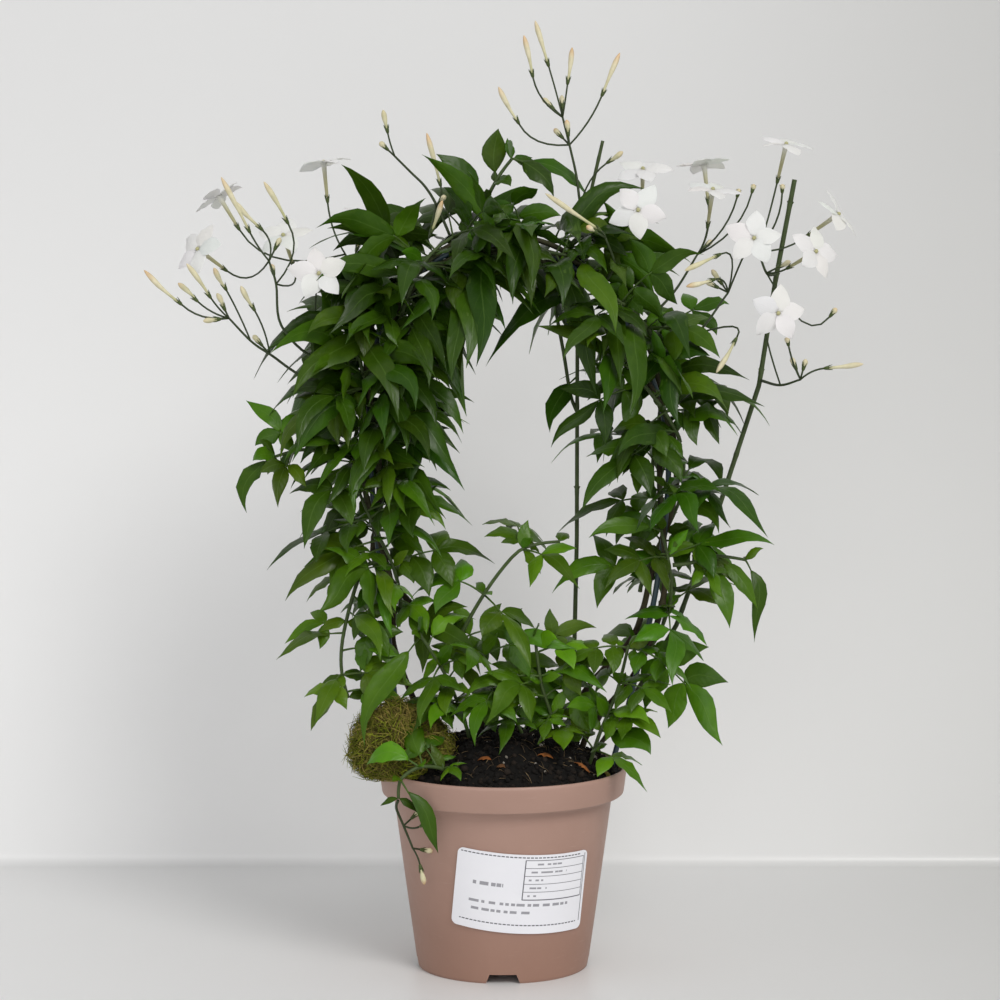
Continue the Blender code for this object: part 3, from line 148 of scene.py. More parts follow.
# Where the leaves of a shoot start, and how far apart they stand, in mm along it.
FIRST_LEAF_HOOP = 6
FIRST_LEAF_FREE = 10
FIRST_LEAF_ROOTED = 34
HOOP_SHOOT_SPACING = 24

# Free side shoots: points of the stem in mm, leaf length and distance between pairs.
ROOTED_BELOW = 95  # a free shoot that starts lower stands in the compost
FreeShoot = namedtuple("FreeShoot", "name points size spacing")
FREE_SHOOTS = [
    FreeShoot("shoot_arch", [(-14, 7, 124), (-20, -5, 146), (-10, -10, 165), (7, -12, 187), (25, -10, 191)],
              42, 27),
    FreeShoot("shoot_base_1", [(14, 0, 88), (8, -6, 106), (-1, -12, 124), (-9, -15, 142)], 46, 16),
    FreeShoot("shoot_base_2", [(27, -6, 88), (24, -11, 106), (17, -15, 128), (14, -15, 150)], 46, 16),
    FreeShoot("shoot_base_3", [(37, -15, 88), (42, -18, 106), (50, -18, 126), (55, -16, 146)], 44, 16),
    FreeShoot("shoot_base_4", [(-12, -7, 88), (-16, -9, 108), (-25, -14, 132), (-37, -17, 152)], 46, 20),
    FreeShoot("shoot_hang", [(-54, -4, 190), (-62, -8, 178), (-70, -10, 151), (-71, -12, 134),
                             (-68, -12, 122)], 36, 24),
    FreeShoot("shoot_rim", [(-20, -30, 88), (-26, -38, 95), (-36, -44, 97), (-44, -47, 92),
                            (-45, -48, 84)], 22, 40),
    FreeShoot("shoot_right_out", [(73, -4, 172), (82, -7, 181), (94, -6, 184), (107, -3, 182)], 30, 40),
    FreeShoot("shoot_left_out", [(-60, -3, 220), (-74, -5, 229), (-88, -6, 231), (-100, -6, 228)], 32, 18),
    FreeShoot("shoot_crown", [(-12, -3, 322), (-9, -4, 336), (-2, -5, 350), (4, -5, 358)], 0, 60),
]

# Leaves with a place of their own: shoot, root, rise of the bend, tip, pairs and breadth.
CHOSEN_LEAVES = [
    ("shoot_left_out", (-100, -6, 228), (-8, 0, 7), (-112, -14, 204), 0, 1.2),
    ("shoot_left_4", (-62, -4, 244), (-8, -4, 9), (-97, -16, 226), 1, 1.1),
    ("shoot_left_5", (-54, -4, 282), (-8, -6, 11), (-91, -28, 280), 1, 1.2),
    ("shoot_left_5", (-46, -4, 296), (-6, -6, 12), (-84, -22, 300), 2, 1.0),
    ("shoot_top_1", (-36, -6, 306), (-8, 8, 12), (-72, 26, 322), 0, 1.1),
    ("shoot_top_1", (-28, -6, 314), (-6, 10, 10), (-52, 24, 334), 0, 1.0),
    ("shoot_top_2", (6, -8, 324), (2, -8, 8), (12, -30, 294), 1, 1.0),
    ("shoot_top_2", (36, -6, 310), (4, -2, 12), (62, -2, 322), 1, 1.0),
    ("shoot_right_5", (62, -6, 282), (8, -4, 9), (92, -18, 268), 1, 1.2),
    ("shoot_left_1", (-58, -2, 190), (-6, -2, 8), (-95, -20, 166), 1, 1.1),
    ("shoot_right_out", (90, -6, 184), (3, -2, 3), (99, -20, 154), 0, 1.4),
    ("shoot_right_out", (93, -4, 184), (4, 0, 3), (112, -10, 161), 0, 1.2),
    ("shoot_right_out", (107, -3, 182), (7, 0, 4), (112, -8, 147), 0, 0.9),
    ("shoot_right_4", (60, -8, 268), (-4, -4, 7), (14, -20, 286), 0, 0.8),
    ("shoot_crown", (-7, -4, 340), (-2, 0, 4), (-29, -6, 360), 0, 1.6),
    ("shoot_crown", (-3, -5, 348), (-2, 0, 2), (-2, -6, 371), 0, 1.8),
    ("shoot_crown", (4, -5, 358), (6, -3, 5), (22, -12, 341), 0, 1.4),
    ("shoot_crown", (4, -5, 358), (8, 2, 8), (38, 4, 336), 0, 1.0),
    ("shoot_top_1", (-22, -8, 322), (4, 10, 12), (8, 16, 346), 0, 1.0),
    ("shoot_top_1", (-24, -8, 322), (0, -10, 4), (-2, -24, 290), 0, 0.9),
    ("shoot_rim", (-44, -47, 92), (2, -3, 0), (-29, -51, 62), 0, 1.1),
    ("shoot_rim", (-36, -44, 97), (-4, -2, 12), (-59, -40, 97), 0, 1.1),
    ("shoot_left_5", (-60, -4, 266), (-10, -8, 8), (-90, -38, 256), 0, 1.0),
    ("shoot_left_4", (-60, -4, 254), (-10, -6, 12), (-88, -36, 232), 1, 0.9),
    ("shoot_left_4", (-60, -2, 234), (-10, 4, 12), (-98, 8, 214), 2, 0.9),
    ("shoot_left_4", (-58, -6, 240), (6, -8, 9), (-20, -24, 222), 1, 1.2),
    ("shoot_top_1", (-38, -6, 306), (4, -14, 6), (-22, -42, 262), 1, 0.8),
    ("shoot_top_1", (-40, -4, 304), (-6, 10, 8), (-80, 36, 288), 1, 0.9),
    ("shoot_left_3", (-58, -4, 214), (-8, -6, 8), (-86, -30, 190), 1, 1.2),
    ("shoot_right_5", (64, -4, 278), (8, 4, 12), (100, 10, 294), 2, 0.9),
    ("shoot_right_4", (70, -2, 248), (8, 2, 10), (106, 4, 236), 2, 0.9),
    ("shoot_top_2", (44, -6, 304), (6, 2, 10), (80, 6, 318), 1, 1.1),
    ("shoot_base_3", (44, -18, 108), (3, -4, 4), (64, -36, 101), 0, 1.6),
    ("shoot_base_2", (22, -13, 110), (2, -4, 4), (26, -42, 104), 1, 1.3),
    ("shoot_base_4", (-36, -17, 150), (-6, -8, 4), (-60, -34, 104), 0, 1.0),
    ("stem_centre", (33, 14, 262), (-6, -2, 3), (14, 10, 249), 0, 1.4),
    ("stem_centre", (33, 14, 250), (5, 2, 2), (48, 18, 240), 0, 1.2),
]

# Blooms: middle of the mouth in mm and the way the bloom faces.
CALYX_LENGTH = 2.6 * MM
FLOWER_TUBE = 16 * MM
LOBES = 5
LOBE_REACH = 13.2 * MM
LOBE_WIDTH = 7.8 * MM
LOBE_DROOP = 1.2 * MM
Bloom = namedtuple("Bloom", "middle facing")
BLOOMS = {
    "bloom_left_1": Bloom((-79, -30, 309), (0.1, -0.9, 0.35)),
    "bloom_left_2": Bloom((-96, -3, 325), (-0.2, -0.6, 0.75)),
    "bloom_left_3": Bloom((-133, -8, 319), (-0.6, -0.5, 0.5)),
    "bloom_left_4": Bloom((-127, 30, 342), (-0.5, 0.2, 0.8)),
    "bloom_left_5": Bloom((-80, 30, 357), (-0.1, 0.1, 1.0)),
    "bloom_left_6": Bloom((-60, 26, 334), (0.3, -0.2, 0.9)),
    "bloom_right_1": Bloom((58, -26, 336), (0.0, -0.95, 0.25)),
    "bloom_right_2": Bloom((62, 20, 354), (0.0, -0.4, 0.9)),
    "bloom_right_3": Bloom((90, 34, 356), (-0.1, 0.2, 1.0)),
    "bloom_right_4": Bloom((92, 4, 345), (0.1, -0.3, 0.9)),
    "bloom_right_5": Bloom((108, -24, 324), (0.1, -0.9, 0.3)),
    "bloom_right_6": Bloom((126, 26, 365), (0.2, -0.2, 0.95)),
    "bloom_right_7": Bloom((148, 10, 334), (0.75, -0.3, 0.55)),
    "bloom_right_8": Bloom((136, -12, 318), (0.6, -0.6, 0.4)),
    "bloom_right_9": Bloom((118, -32, 292), (0.15, -0.95, 0.15)),
}

# Sprays: the stalk's points, buds as (point of the stalk, calyx, tip), blooms as (point, name).
Spray = namedtuple("Spray", "name stem buds blooms")
SPRAYS = [
    Spray("spray_left_low",
          [(-58, -2, 252), (-84, -6, 262), (-102, -6, 273), (-110, -10, 279), (-119, -14, 289)],
          [(4, (-139, -18, 295), (-155, -20, 310)), (4, (-133, -8, 296), (-142, -4, 304)),
           (4, (-126, -22, 298), (-136, -26, 313)), (3, (-120, -13, 301), (-125, -18, 311)),
           (2, (-108, -10, 292), (-114, -12, 303))], []),
    Spray("spray_left_high",
          [(-55, -8, 270), (-82, -14, 272), (-96, -18, 286), (-98, -20, 304), (-101, -20, 314)],
          [(4, (-109, -20, 326), (-121, -24, 350)), (4, (-104, -14, 327), (-117, -12, 340)),
           (3, (-92, -28, 330), (-102, -33, 348))],
          [(3, "bloom_left_2"), (1, "bloom_left_1"), (4, "bloom_left_3")]),
    Spray("spray_left_back", [(-52, 5, 286), (-64, 14, 302), (-70, 20, 316)],
          [(1, (-59, 10, 311), (-61, 6, 326))],
          [(2, "bloom_left_4"), (2, "bloom_left_5"), (1, "bloom_left_6")]),
    Spray("spray_crown_left",
          [(-24, -3, 316), (-29, -5, 338), (-34, -5, 346), (-40, -5, 352), (-47, -6, 359)],
          [(4, (-50, -7, 369), (-52, -8, 379)), (1, (-27, -9, 346), (-33, -12, 369)),
           (1, (-31, -20, 326), (-26, -27, 340))], []),
    Spray("spray_top", [(32, 2, 312), (34, 0, 338), (32, 0, 351), (29, 0, 364), (26, 0, 376)],
          [(3, (7, -4, 373), (-2, -6, 389)), (3, (43, 3, 385), (51, 4, 404)),
           (4, (13, -5, 393), (9, -8, 411)),
           (4, (20, 4, 398), (14, 6, 418)), (4, (28, -3, 390), (30, -4, 406)),
           (1, (45, -6, 356), (52, -9, 361))], []),
    Spray("spray_top_front", [(46, -6, 298), (48, -18, 312), (44, -27, 324)],
          [(2, (42, -28, 327), (18, -34, 343))], []),
    Spray("spray_right_1", [(52, 4, 292), (56, 4, 308), (58, 6, 318)],
          [], [(1, "bloom_right_1"), (2, "bloom_right_2")]),
    Spray("spray_right_2", [(60, 4, 276), (76, 12, 300), (86, 14, 316)],
          [(2, (103, 10, 341), (104, 10, 345)), (2, (109, 4, 343), (110, 4, 347))],
          [(2, "bloom_right_3"), (2, "bloom_right_4")]),
    Spray("spray_right_3", [(66, -6, 262), (84, -10, 282), (98, -10, 300)],
          [(2, (94, -20, 317), (78, -28, 310)), (2, (92, -16, 306), (79, -22, 303)),
           (1, (101, -22, 281), (92, -25, 266))],
          [(2, "bloom_right_5")]),
    Spray("spray_right_4", [(120, 17, 304), (116, 6, 308), (112, 4, 318)],
          [(2, (122, 0, 343), (122, -1, 347)), (1, (143, -2, 289), (146, -3, 293))],
          [(2, "bloom_right_6"), (2, "bloom_right_7"), (1, "bloom_right_8")]),
    Spray("spray_right_5", [(114, 17, 257), (122, 0, 259), (130, -8, 262)],
          [(2, (140, -10, 267), (157, -12, 269)), (2, (124, -16, 277), (123, -18, 281))],
          [(1, "bloom_right_9")]),
    Spray("spray_hang", [(-45, -48, 84), (-46, -44, 79), (-43, -42, 71), (-39, -42, 61)],
          [(3, (-36, -42, 54), (-34, -42, 45)), (2, (-36, -44, 71), (-29, -46, 75))], []),
]


def vector(point):
    """A point in millimetres as a vector in metres."""
    return Vector(point) * MM


def turns_of(count):
    """Even angles all the way round."""
    return [math.tau * k / count for k in range(count)]


def swung(side, other, angle):
    """The direction at an angle from one side toward the other."""
    return side * math.cos(angle) + other * math.sin(angle)


# --- curves ---

def smooth(points, spans=8):
    """Points on a smooth curve that passes through the given ones."""
    ends = [2 * points[0] - points[1]] + list(points) + [2 * points[-1] - points[-2]]
    out = []
    for a, b, c, d in zip(ends, ends[1:], ends[2:], ends[3:]):
        for k in range(spans):
            t = k / spans
            out.append(0.5 * (2 * b + (c - a) * t + (2 * a - 5 * b + 4 * c - d) * t ** 2
                              + (3 * b - a - 3 * c + d) * t ** 3))
    out.append(points[-1].copy())
    return out


class Route:
    """A polyline that can be read at any length along it."""

    def __init__(self, points):
        self.points = points
        self.lengths = [0.0]
        for a, b in zip(points, points[1:]):
            self.lengths.append(self.lengths[-1] + (b - a).length)

    def at(self, length):
        """The point and the direction of travel at a length."""
        length = min(max(length, 0.0), self.lengths[-1])
        k = 1
        while k < len(self.lengths) - 1 and self.lengths[k] < length:
            k += 1
        a, b = self.points[k - 1], self.points[k]
        share = (length - self.lengths[k - 1]) / (self.lengths[k] - self.lengths[k - 1])
        return a.lerp(b, share), (b - a).normalized()

    def even(self, step):
        """Points at even steps along the route, both ends included."""
        count = max(2, round(self.lengths[-1] / step))
        return [self.at(self.lengths[-1] * k / count)[0] for k in range(count + 1)]

    def nearest(self, point):
        """The closest point of the route to a point, and the route's direction there."""
        best = None
        for a, b in zip(self.points, self.points[1:]):
            edge = b - a
            share = min(max((point - a).dot(edge) / edge.length_squared, 0.0), 1.0)
            spot = a + edge * share
            if best is None or (spot - point).length < (best[0] - point).length:
                best = spot, edge.normalized()
        return best


HOOP = Route(smooth([vector((x, 0, z)) for x, z in HOOP_POINTS]))


def beside_hoop(length, offset, phase):
    """A point at an offset from the wire, in a phase that turns along the hoop."""
    point, along = HOOP.at(length)
    outward = along.cross(BACK)
    angle = math.radians(phase) + TURN * length
    return point + offset * swung(outward, BACK, angle)


def vine_route(vine):
    """From the compost, past the guide points, then winding round the hoop."""
    count = round(abs(vine.end - vine.join) * MM / VINE_STEP)
    turns = [beside_hoop((vine.join + (vine.end - vine.join) * k / count) * MM, VINE_OFFSET, vine.phase)
             for k in range(count + 1)]
    root = vector(vine.guide[0]) - UP * STEM_SINK
    guide = smooth([vector(p) for p in vine.guide] + turns[:2], GUIDE_SPANS)
    return Route([root] + Route(guide[:-GUIDE_SPANS]).even(VINE_STEP) + turns[1:])


def seat(target, hosts):
    """The place a hair off the nearest host, facing the target, where a side stem starts."""
    found = [(*route.nearest(target), radius) for route, radius in hosts]
    spot, along, radius = min(found, key=lambda f: (f[0] - target).length - f[2])
    away = (target - spot).normalized()
    return spot + away * (radius * away.cross(along).length + SEAT_GAP)


def bend_at(a, b, c, share):
    """A point on the arch from a over b to c."""
    return a.lerp(b, share).lerp(b.lerp(c, share), share)


def level(vector_in, along):
    """The part of a vector square to a direction, as a unit vector."""
    return (vector_in - along * vector_in.dot(along)).normalized()


# A leaf's midline is an arch from its root over a bend to its tip; side points across the blade.
Leaf = namedtuple("Leaf", "root bend tip side pairs breadth")


def shoot_route(shoot):
    """Along the hoop outside its vine, from a hair off the vine's bark."""
    way = 1 if shoot.end > shoot.start else -1
    phase = VINES[shoot.vine].phase
    count = round(abs(shoot.end - shoot.start) * MM / SHOOT_STEP)
    foot = beside_hoop(shoot.start * MM, SHOOT_OFFSET - GAP, phase)
    first = beside_hoop((shoot.start + way * 4) * MM, SHOOT_OFFSET, phase)
    rest = [beside_hoop((shoot.start + (shoot.end - shoot.start) * k / count) * MM, SHOOT_OFFSET, phase)
            for k in range(1, count + 1)]
    return Route([foot, first] + rest)


def leaf_choice(seed, spot, along, outward, hand, size, attempt):
    """One of the ways in which a leaf may stand at its place on the stem."""
    rng = random.Random(f"{seed} {attempt}")
    loose = 1 + 0.05 * attempt
    turn = hand * math.radians(70 + rng.uniform(-25, 25) * loose)
    heading = swung(outward, along.cross(outward), turn)
    heading = (heading + along * rng.uniform(-0.1, 0.5) + UP * rng.uniform(-0.1, 0.4)).normalized()
    length = size * rng.uniform(0.85, 1.2) * (1 - 0.012 * attempt) * MM
    onward = (heading - UP * rng.uniform(0.7, 1.6)).normalized()
    root = spot - heading * GAP
    bend = root + heading * length * 0.5
    side = level(LIGHT, heading).cross(heading)
    roll = math.radians(rng.uniform(-35, 35))
    side = swung(side, heading.cross(side), roll).normalized()
    pairs = rng.choice((1, 1, 2, 2, 2)) if size > 36 else 1
    return Leaf(root, bend, bend + onward * length * 0.5, side, pairs, rng.uniform(0.9, 1.15))


def chosen_leaf(seed, root, over, tip, pairs, breadth, attempt):
    """A leaf with a given tip, shifted a little further at each attempt."""
    rng = random.Random(f"{seed} chosen {attempt}")
    shift = Vector([rng.uniform(-1, 1) * 0.7 * attempt * MM for _ in range(3)])
    end = vector(tip) + shift
    bend = root.lerp(end, 0.5) + vector(over)
    heading = (bend - root).normalized()
    side = level(LIGHT, heading).cross(heading)
    return Leaf(root - heading * GAP, bend, end, side, pairs, breadth)


def leaf_choices(name, route, place, hand, size):
    """The ways in which a leaf may stand at a place along a shoot, on one hand of it."""
    spot, along = route.at(place)
    hub = HOOP.nearest(spot)[0]
    outward = level(spot - hub if (spot - hub).length < NEAR_HOOP else OPEN_SIDE, along)
    seed = f"{name} {round(place / MM)} {hand}"
    return [leaf_choice(seed, spot, along, outward, hand, size, n) for n in range(LEAF_TRIES)]


# A leafy stem: leaf length, and the first leaf and the distance between pairs in mm along the route.
Shoot = namedtuple("Shoot", "name route radius size first spacing")


def lone_leaves(shoot):
    """The choices for each leaf of a shoot that has a place of its own."""
    wanted = []
    for k, (owner, root, over, tip, pairs, breadth) in enumerate(CHOSEN_LEAVES):
        if owner == shoot.name:
            spot = shoot.route.nearest(vector(root))[0]
            tries = range(LEAF_TRIES // 2)
            wanted.append([chosen_leaf(f"{owner} {k}", spot, over, tip, pairs, breadth, n)
                           for n in tries])
    return wanted


def paired_leaves(shoot):
    """The choices for each of the leaves that stand in pairs along a shoot."""
    wanted = []
    place = shoot.first * MM
    while shoot.size and place < shoot.route.lengths[-1]:
        for hand in (-1, 1):
            wanted.append(leaf_choices(shoot.name, shoot.route, place, hand, shoot.size))
        place += shoot.spacing * MM
    return wanted


def rooted(points, spans=1):
    """A route from a straight foot in the compost through the points."""
    spots = [vector(p) for p in points]
    return Route([spots[0] - UP * STEM_SINK] + (smooth(spots, spans) if spans > 1 else spots))


def plan_shoots():
    """Every leafy shoot with its route, and the hosts that side shoots and sprays may grow from."""
    hosts = [(vine_route(vine), VINE_RADII[0]) for vine in VINES]
    centre = rooted(STEM_CENTRE)
    hosts += [(centre, STEM_RADIUS), (rooted(STEM_RIGHT), STEM_RADIUS)]
    shoots = [Shoot("stem_centre", centre, STEM_RADIUS, 0, 0, 0)]
    for shoot in HOOP_SHOOTS:
        route = shoot_route(shoot)
        shoots.append(Shoot(shoot.name, route, SHOOT_RADIUS, shoot.size, FIRST_LEAF_HOOP,
                            HOOP_SHOOT_SPACING))
        hosts.append((route, SHOOT_RADIUS))
    for shoot in FREE_SHOOTS:
        if shoot.points[0][2] > ROOTED_BELOW:
            points = [vector(p) for p in shoot.points]
            route = Route(smooth([seat(points[1], hosts)] + points[1:], 2))
            first = FIRST_LEAF_FREE
        else:
            route = rooted(shoot.points, 2)
            first = FIRST_LEAF_ROOTED
        shoots.append(Shoot(shoot.name, route, SHOOT_RADIUS, shoot.size, first, shoot.spacing))
    hosts += [(shoot.route, shoot.radius) for shoot in shoots[-len(FREE_SHOOTS):]]
    return shoots, hosts


def grown_leaves(shoot):
    """The leaves that the solid of a shoot really holds: each place's choice whose tip is there."""
    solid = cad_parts[shoot.name].data.vertices
    tree = KDTree(len(solid))
    for k, spot in enumerate(solid):
        tree.insert(spot.co, k)
    tree.balance()
    grown = []
    for choices in lone_leaves(shoot) + paired_leaves(shoot):
        for leaf in choices:
            along = (leaf.tip - leaf.bend).normalized()
            normal = along.cross(level(leaf.side, along))
            tips = (leaf.tip + normal * LEAF_THICKNESS / 2, leaf.tip - normal * LEAF_THICKNESS / 2)
            if all(tree.find(tip)[2] < SAME_POINT for tip in tips):
                grown.append(leaf)
                break
    return grown


# --- shapes: bodies lofted through rings of points ---

EDGE_ANGLE = math.radians(130)  # sharper edges are the rims of blades and aren't smoothed
STEEP = 0.8  # a direction whose height is more than this is taken as upright

# The section of a blade: across from -1 to 1, and the upper, edge or lower side.
BLADE_SECTION = [(-1, 0), (-0.6, 1), (0, 1), (0.6, 1), (1, 0), (0.6, -1), (0, -1), (-0.6, -1)]
STALK_HALF = 0.3 * MM
BLADE_RIPPLES = (4, 6.5)  # the fewest and the most half waves along an edge
UNTWISTED = 0.3  # the share of a blade that keeps its side as it twists

# A leaflet or petal on an arch: side is the direction across it, half a half width for each share,
# twist runs from foot to tip, and swerve is how far the arch sways aside.
Blade = namedtuple("Blade", "foot bend tip side face half stations keel curl wave twist swerve thickness")


def new_mesh(name, points, faces):
    """A mesh from its points and faces."""
    mesh = bpy.data.meshes.new(name)
    mesh.from_pydata(points, [], faces)
    return mesh


def placed(name, data):
    """A new object in the scene."""
    thing = bpy.data.objects.new(name, data)
    bpy.context.scene.collection.objects.link(thing)
    return thing


def square_to(along):
    """Two directions square to a direction and to each other."""
    side = level(UP if abs(along.z) < STEEP else BACK, along)
    return side, along.cross(side)


class Shape:
    """Closed bodies in one mesh, with a tint and a place on its part at each point.

    A place is (across, along, seed): -1 to 1 over a blade or 0 to 1 round a stem, 0 to 1 from
    foot to tip, and a number that tells one leaf or petal from the next.
    """

    def __init__(self):
        self.points = []
        self.tints = []
        self.places = []
        self.faces = []
        self.looks = []

    def loft(self, rings, tints, places, look=0):
        """A closed body through equal rings. tints and places hold a value for each ring or point."""
        size, start = len(rings[0]), len(self.points)
        for ring, tint, place in zip(rings, tints, places):
            self.points += ring
            self.tints += tint if isinstance(tint, list) else [tint] * size
            self.places += place if isinstance(place, list) else [place] * size
        last = start + size * (len(rings) - 1)
        for low in range(start, last, size):
            for k in range(size):
                after = (k + 1) % size
                self.faces.append((low + k, low + after, low + size + after, low + size + k))
        self.faces.append(tuple(range(start + size - 1, start - 1, -1)))
        self.faces.append(tuple(range(last, last + size)))
        self.looks += [look] * (last - start + 2)

    def object(self, name, materials):
        """The bodies as one smooth object, with a material for each look."""
        mesh = new_mesh(name, self.points, self.faces)
        tint = mesh.attributes.new("tint", "FLOAT_COLOR", "POINT")
        tint.data.foreach_set("color", [c for colour in self.tints for c in (*colour, 1.0)])
        place = mesh.attributes.new("place", "FLOAT_VECTOR", "POINT")
        place.data.foreach_set("vector", [c for spot in self.places for c in spot])
        for made in materials:
            mesh.materials.append(made)
        mesh.polygons.foreach_set("material_index", self.looks)
        mesh.shade_smooth()
        mesh.set_sharp_from_angle(angle=EDGE_ANGLE)
        mesh.update()
        return placed(name, mesh)


def stand_for(thing, node):
    """The piece rides on the plant's one body, in the place of its solid."""
    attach(thing, "root")
    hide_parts(node)


def mixed(a, b, share):
    """A colour between two colours."""
    return tuple(x + (y - x) * share for x, y in zip(a, b))


def eased(low, high, value):
    """0 below low, 1 above high, and a soft step between."""
    share = min(max((value - low) / (high - low), 0.0), 1.0)
    return share * share * (3 - 2 * share)


def steady_frames(points):
    """A direction along the path and two square to it at each point, carried on without twist."""
    last = len(points) - 1
    frames = []
    side = None
    for k, point in enumerate(points):
        along = (points[min(k + 1, last)] - points[max(k - 1, 0)]).normalized()
        side = level(side or square_to(along)[0], along)
        frames.append((point, along, side, along.cross(side)))
    return frames


def add_tube(shape, points, radii, tints, look, sides):
    """A round stem, twig or wire. The path's foot and tip are closed."""
    rings, places = [], []
    last = len(points) - 1
    for k, ((point, _, side, other), radius) in enumerate(zip(steady_frames(points), radii)):
        rings.append([point + swung(side, other, turn) * radius for turn in turns_of(sides)])
        places.append([(j / sides, k / last, 0.0) for j in range(sides)])
    shape.loft(rings, tints if isinstance(tints, list) else [tints] * len(points), places, look)


def add_blade(shape, blade, tint, under, seed):
    """A leaflet or petal: a thin lens-shaped section swept over its arch."""
    rings, places, tints = [], [], []
    rng = random.Random(seed)
    phase, ripple = rng.uniform(0, math.tau), rng.uniform(*BLADE_RIPPLES) * math.pi
    for share in blade.stations:
        point = bend_at(blade.foot, blade.bend, blade.tip, share)
        along = (blade.bend - blade.foot).lerp(blade.tip - blade.bend, share).normalized()
        side = level(blade.side, along)
        side = swung(side, along.cross(side), blade.twist * (share - UNTWISTED))
        point = point + side * blade.swerve * math.sin(math.tau * share)
        normal = along.cross(side) * blade.face
        half = blade.half(share)
        thick = min(blade.thickness, half)
        ring, spots, colours = [], [], []
        for across, upper in BLADE_SECTION:
            sag = half * (blade.keel * abs(across) - blade.curl * across ** 2)
            sway = half * blade.wave * math.sin(ripple * share + phase + across) * across ** 2
            lens = thick / 2 * (1 - across ** 2) * upper
            ring.append(point + side * across * half + normal * (sag + sway + lens))
            spots.append((across, share, seed % 1))
            colours.append(tint if upper >= 0 else under)
        rings.append(ring)
        places.append(spots)
        tints.append(colours)
    shape.loft(rings, tints, places)


def leaflet_half(half_width, fullness, drawn_out):
    """A half width for each share of a blade: rounded near the foot, drawn out at the tip."""
    def half(share):
        body = math.sin(math.pi * min(share, 1.0) ** fullness)
        return max(half_width * body * (1 - drawn_out * share ** 3), STALK_HALF * (1 - 0.85 * share))
    return half


# --- leaves ---

LEAFLET_FULLNESS = 0.76  # the lower, the nearer to its foot a leaflet is widest
LEAFLET_GIRTH = 1.12  # of the width in the solids, before it is slimmed
LEAFLET_BOW = (0.06, 0.08)  # how far a leaflet bows aside, and how much more a long one does
LEAFLET_RISE = (0.03, 0.06)  # the same for how far its middle rises
LEAFLET_LIGHT = (0.8, 0.8)  # the least lightness of a leaflet, and the most that comes on top
BLUNT, POINTED = 0.08, 0.5  # how far the tip of a short and of a long leaflet is drawn out
LEAF_STATIONS = [0.0, 0.05, 0.13, 0.24, 0.37, 0.51, 0.65, 0.78, 0.89, 0.96, 1.0]
SMALL_STATIONS = [0.0, 0.1, 0.26, 0.46, 0.68, 0.87, 1.0]
SHORT_REACH, LONG_REACH = 12 * MM, 30 * MM
SLIM_REACH = (30 * MM, 42 * MM)  # longer leaflets are slim wherever they grow
SHADY_HEIGHT = 0.22  # the leaves above are older and darker
YOUNG_LEAF = 30 * MM  # shorter leaves are young and bright
LEAF_AGE = (0.2, 0.5, 0.22)  # the least age, and what height and length add to it
HANGING_HEIGHT = 90 * MM  # the leaves below hang over the rim, slim and dark
HANGING_SLIM = 0.2
HANGING_SHADE = 0.6
SMALL_PAIR = (0.45, 84, 0.55)  # a third pair: its place and reach next to the first pair's, and its angle
RIB_STEPS = 7

# Fillers: the small leaves added between the large ones.
CLEAR_SPACE = ((13, 236), (28, 58))  # middle and half size in x and z of the wreath's round opening
FILLER_START = 5 * MM
FILLER_TRIES = 12
FILLER_LOW = 0.112
FILLER_ROOM = 6 * MM  # kept free inside the size of the solids
FILLER_SHARE = 0.72  # of the places that get one
FILLER_HANDS = (-1, 1)  # the way each of them points, 1 for about 70 degrees from outward
FULL_HANDS = (-1.7, -1, 0, 1, 1.7)  # the same where the wreath is densest
TOP_FROM, TOP_TO = 0.17, 0.27  # the heights between which they grow longer and hang more

# Parts of the wreath with more or fewer: x and z from, to in mm, and the share there.
FILLER_ZONES = [
    (-110, -30, 215, 330, 1.0), (-30, 0, 280, 340, 0.8), (0, 110, 265, 340, 0.8),
    (36, 110, 90, 180, 0.2), (55, 120, 180, 265, 0.55), (-110, 0, 90, 180, 0.5),
]


def leaf_tint(settings, rng, height, length):
    """A leaf's upper and lower colour: dark and old, or young and bright."""
    least, by_height, by_length = LEAF_AGE
    age = least + eased(SHADY_HEIGHT - 0.10, SHADY_HEIGHT + 0.07, height) * by_height
    age += by_length * eased(YOUNG_LEAF, 2 * YOUNG_LEAF, length) + rng.uniform(-0.3, 0.3)
    tint = mixed(settings.bright, settings.dark, min(max(age, 0.0), 1.0))
    tint = tuple(part * rng.uniform(0.86, 1.14) for part in tint)
    return tint, mixed(tint, settings.underside, 0.55)


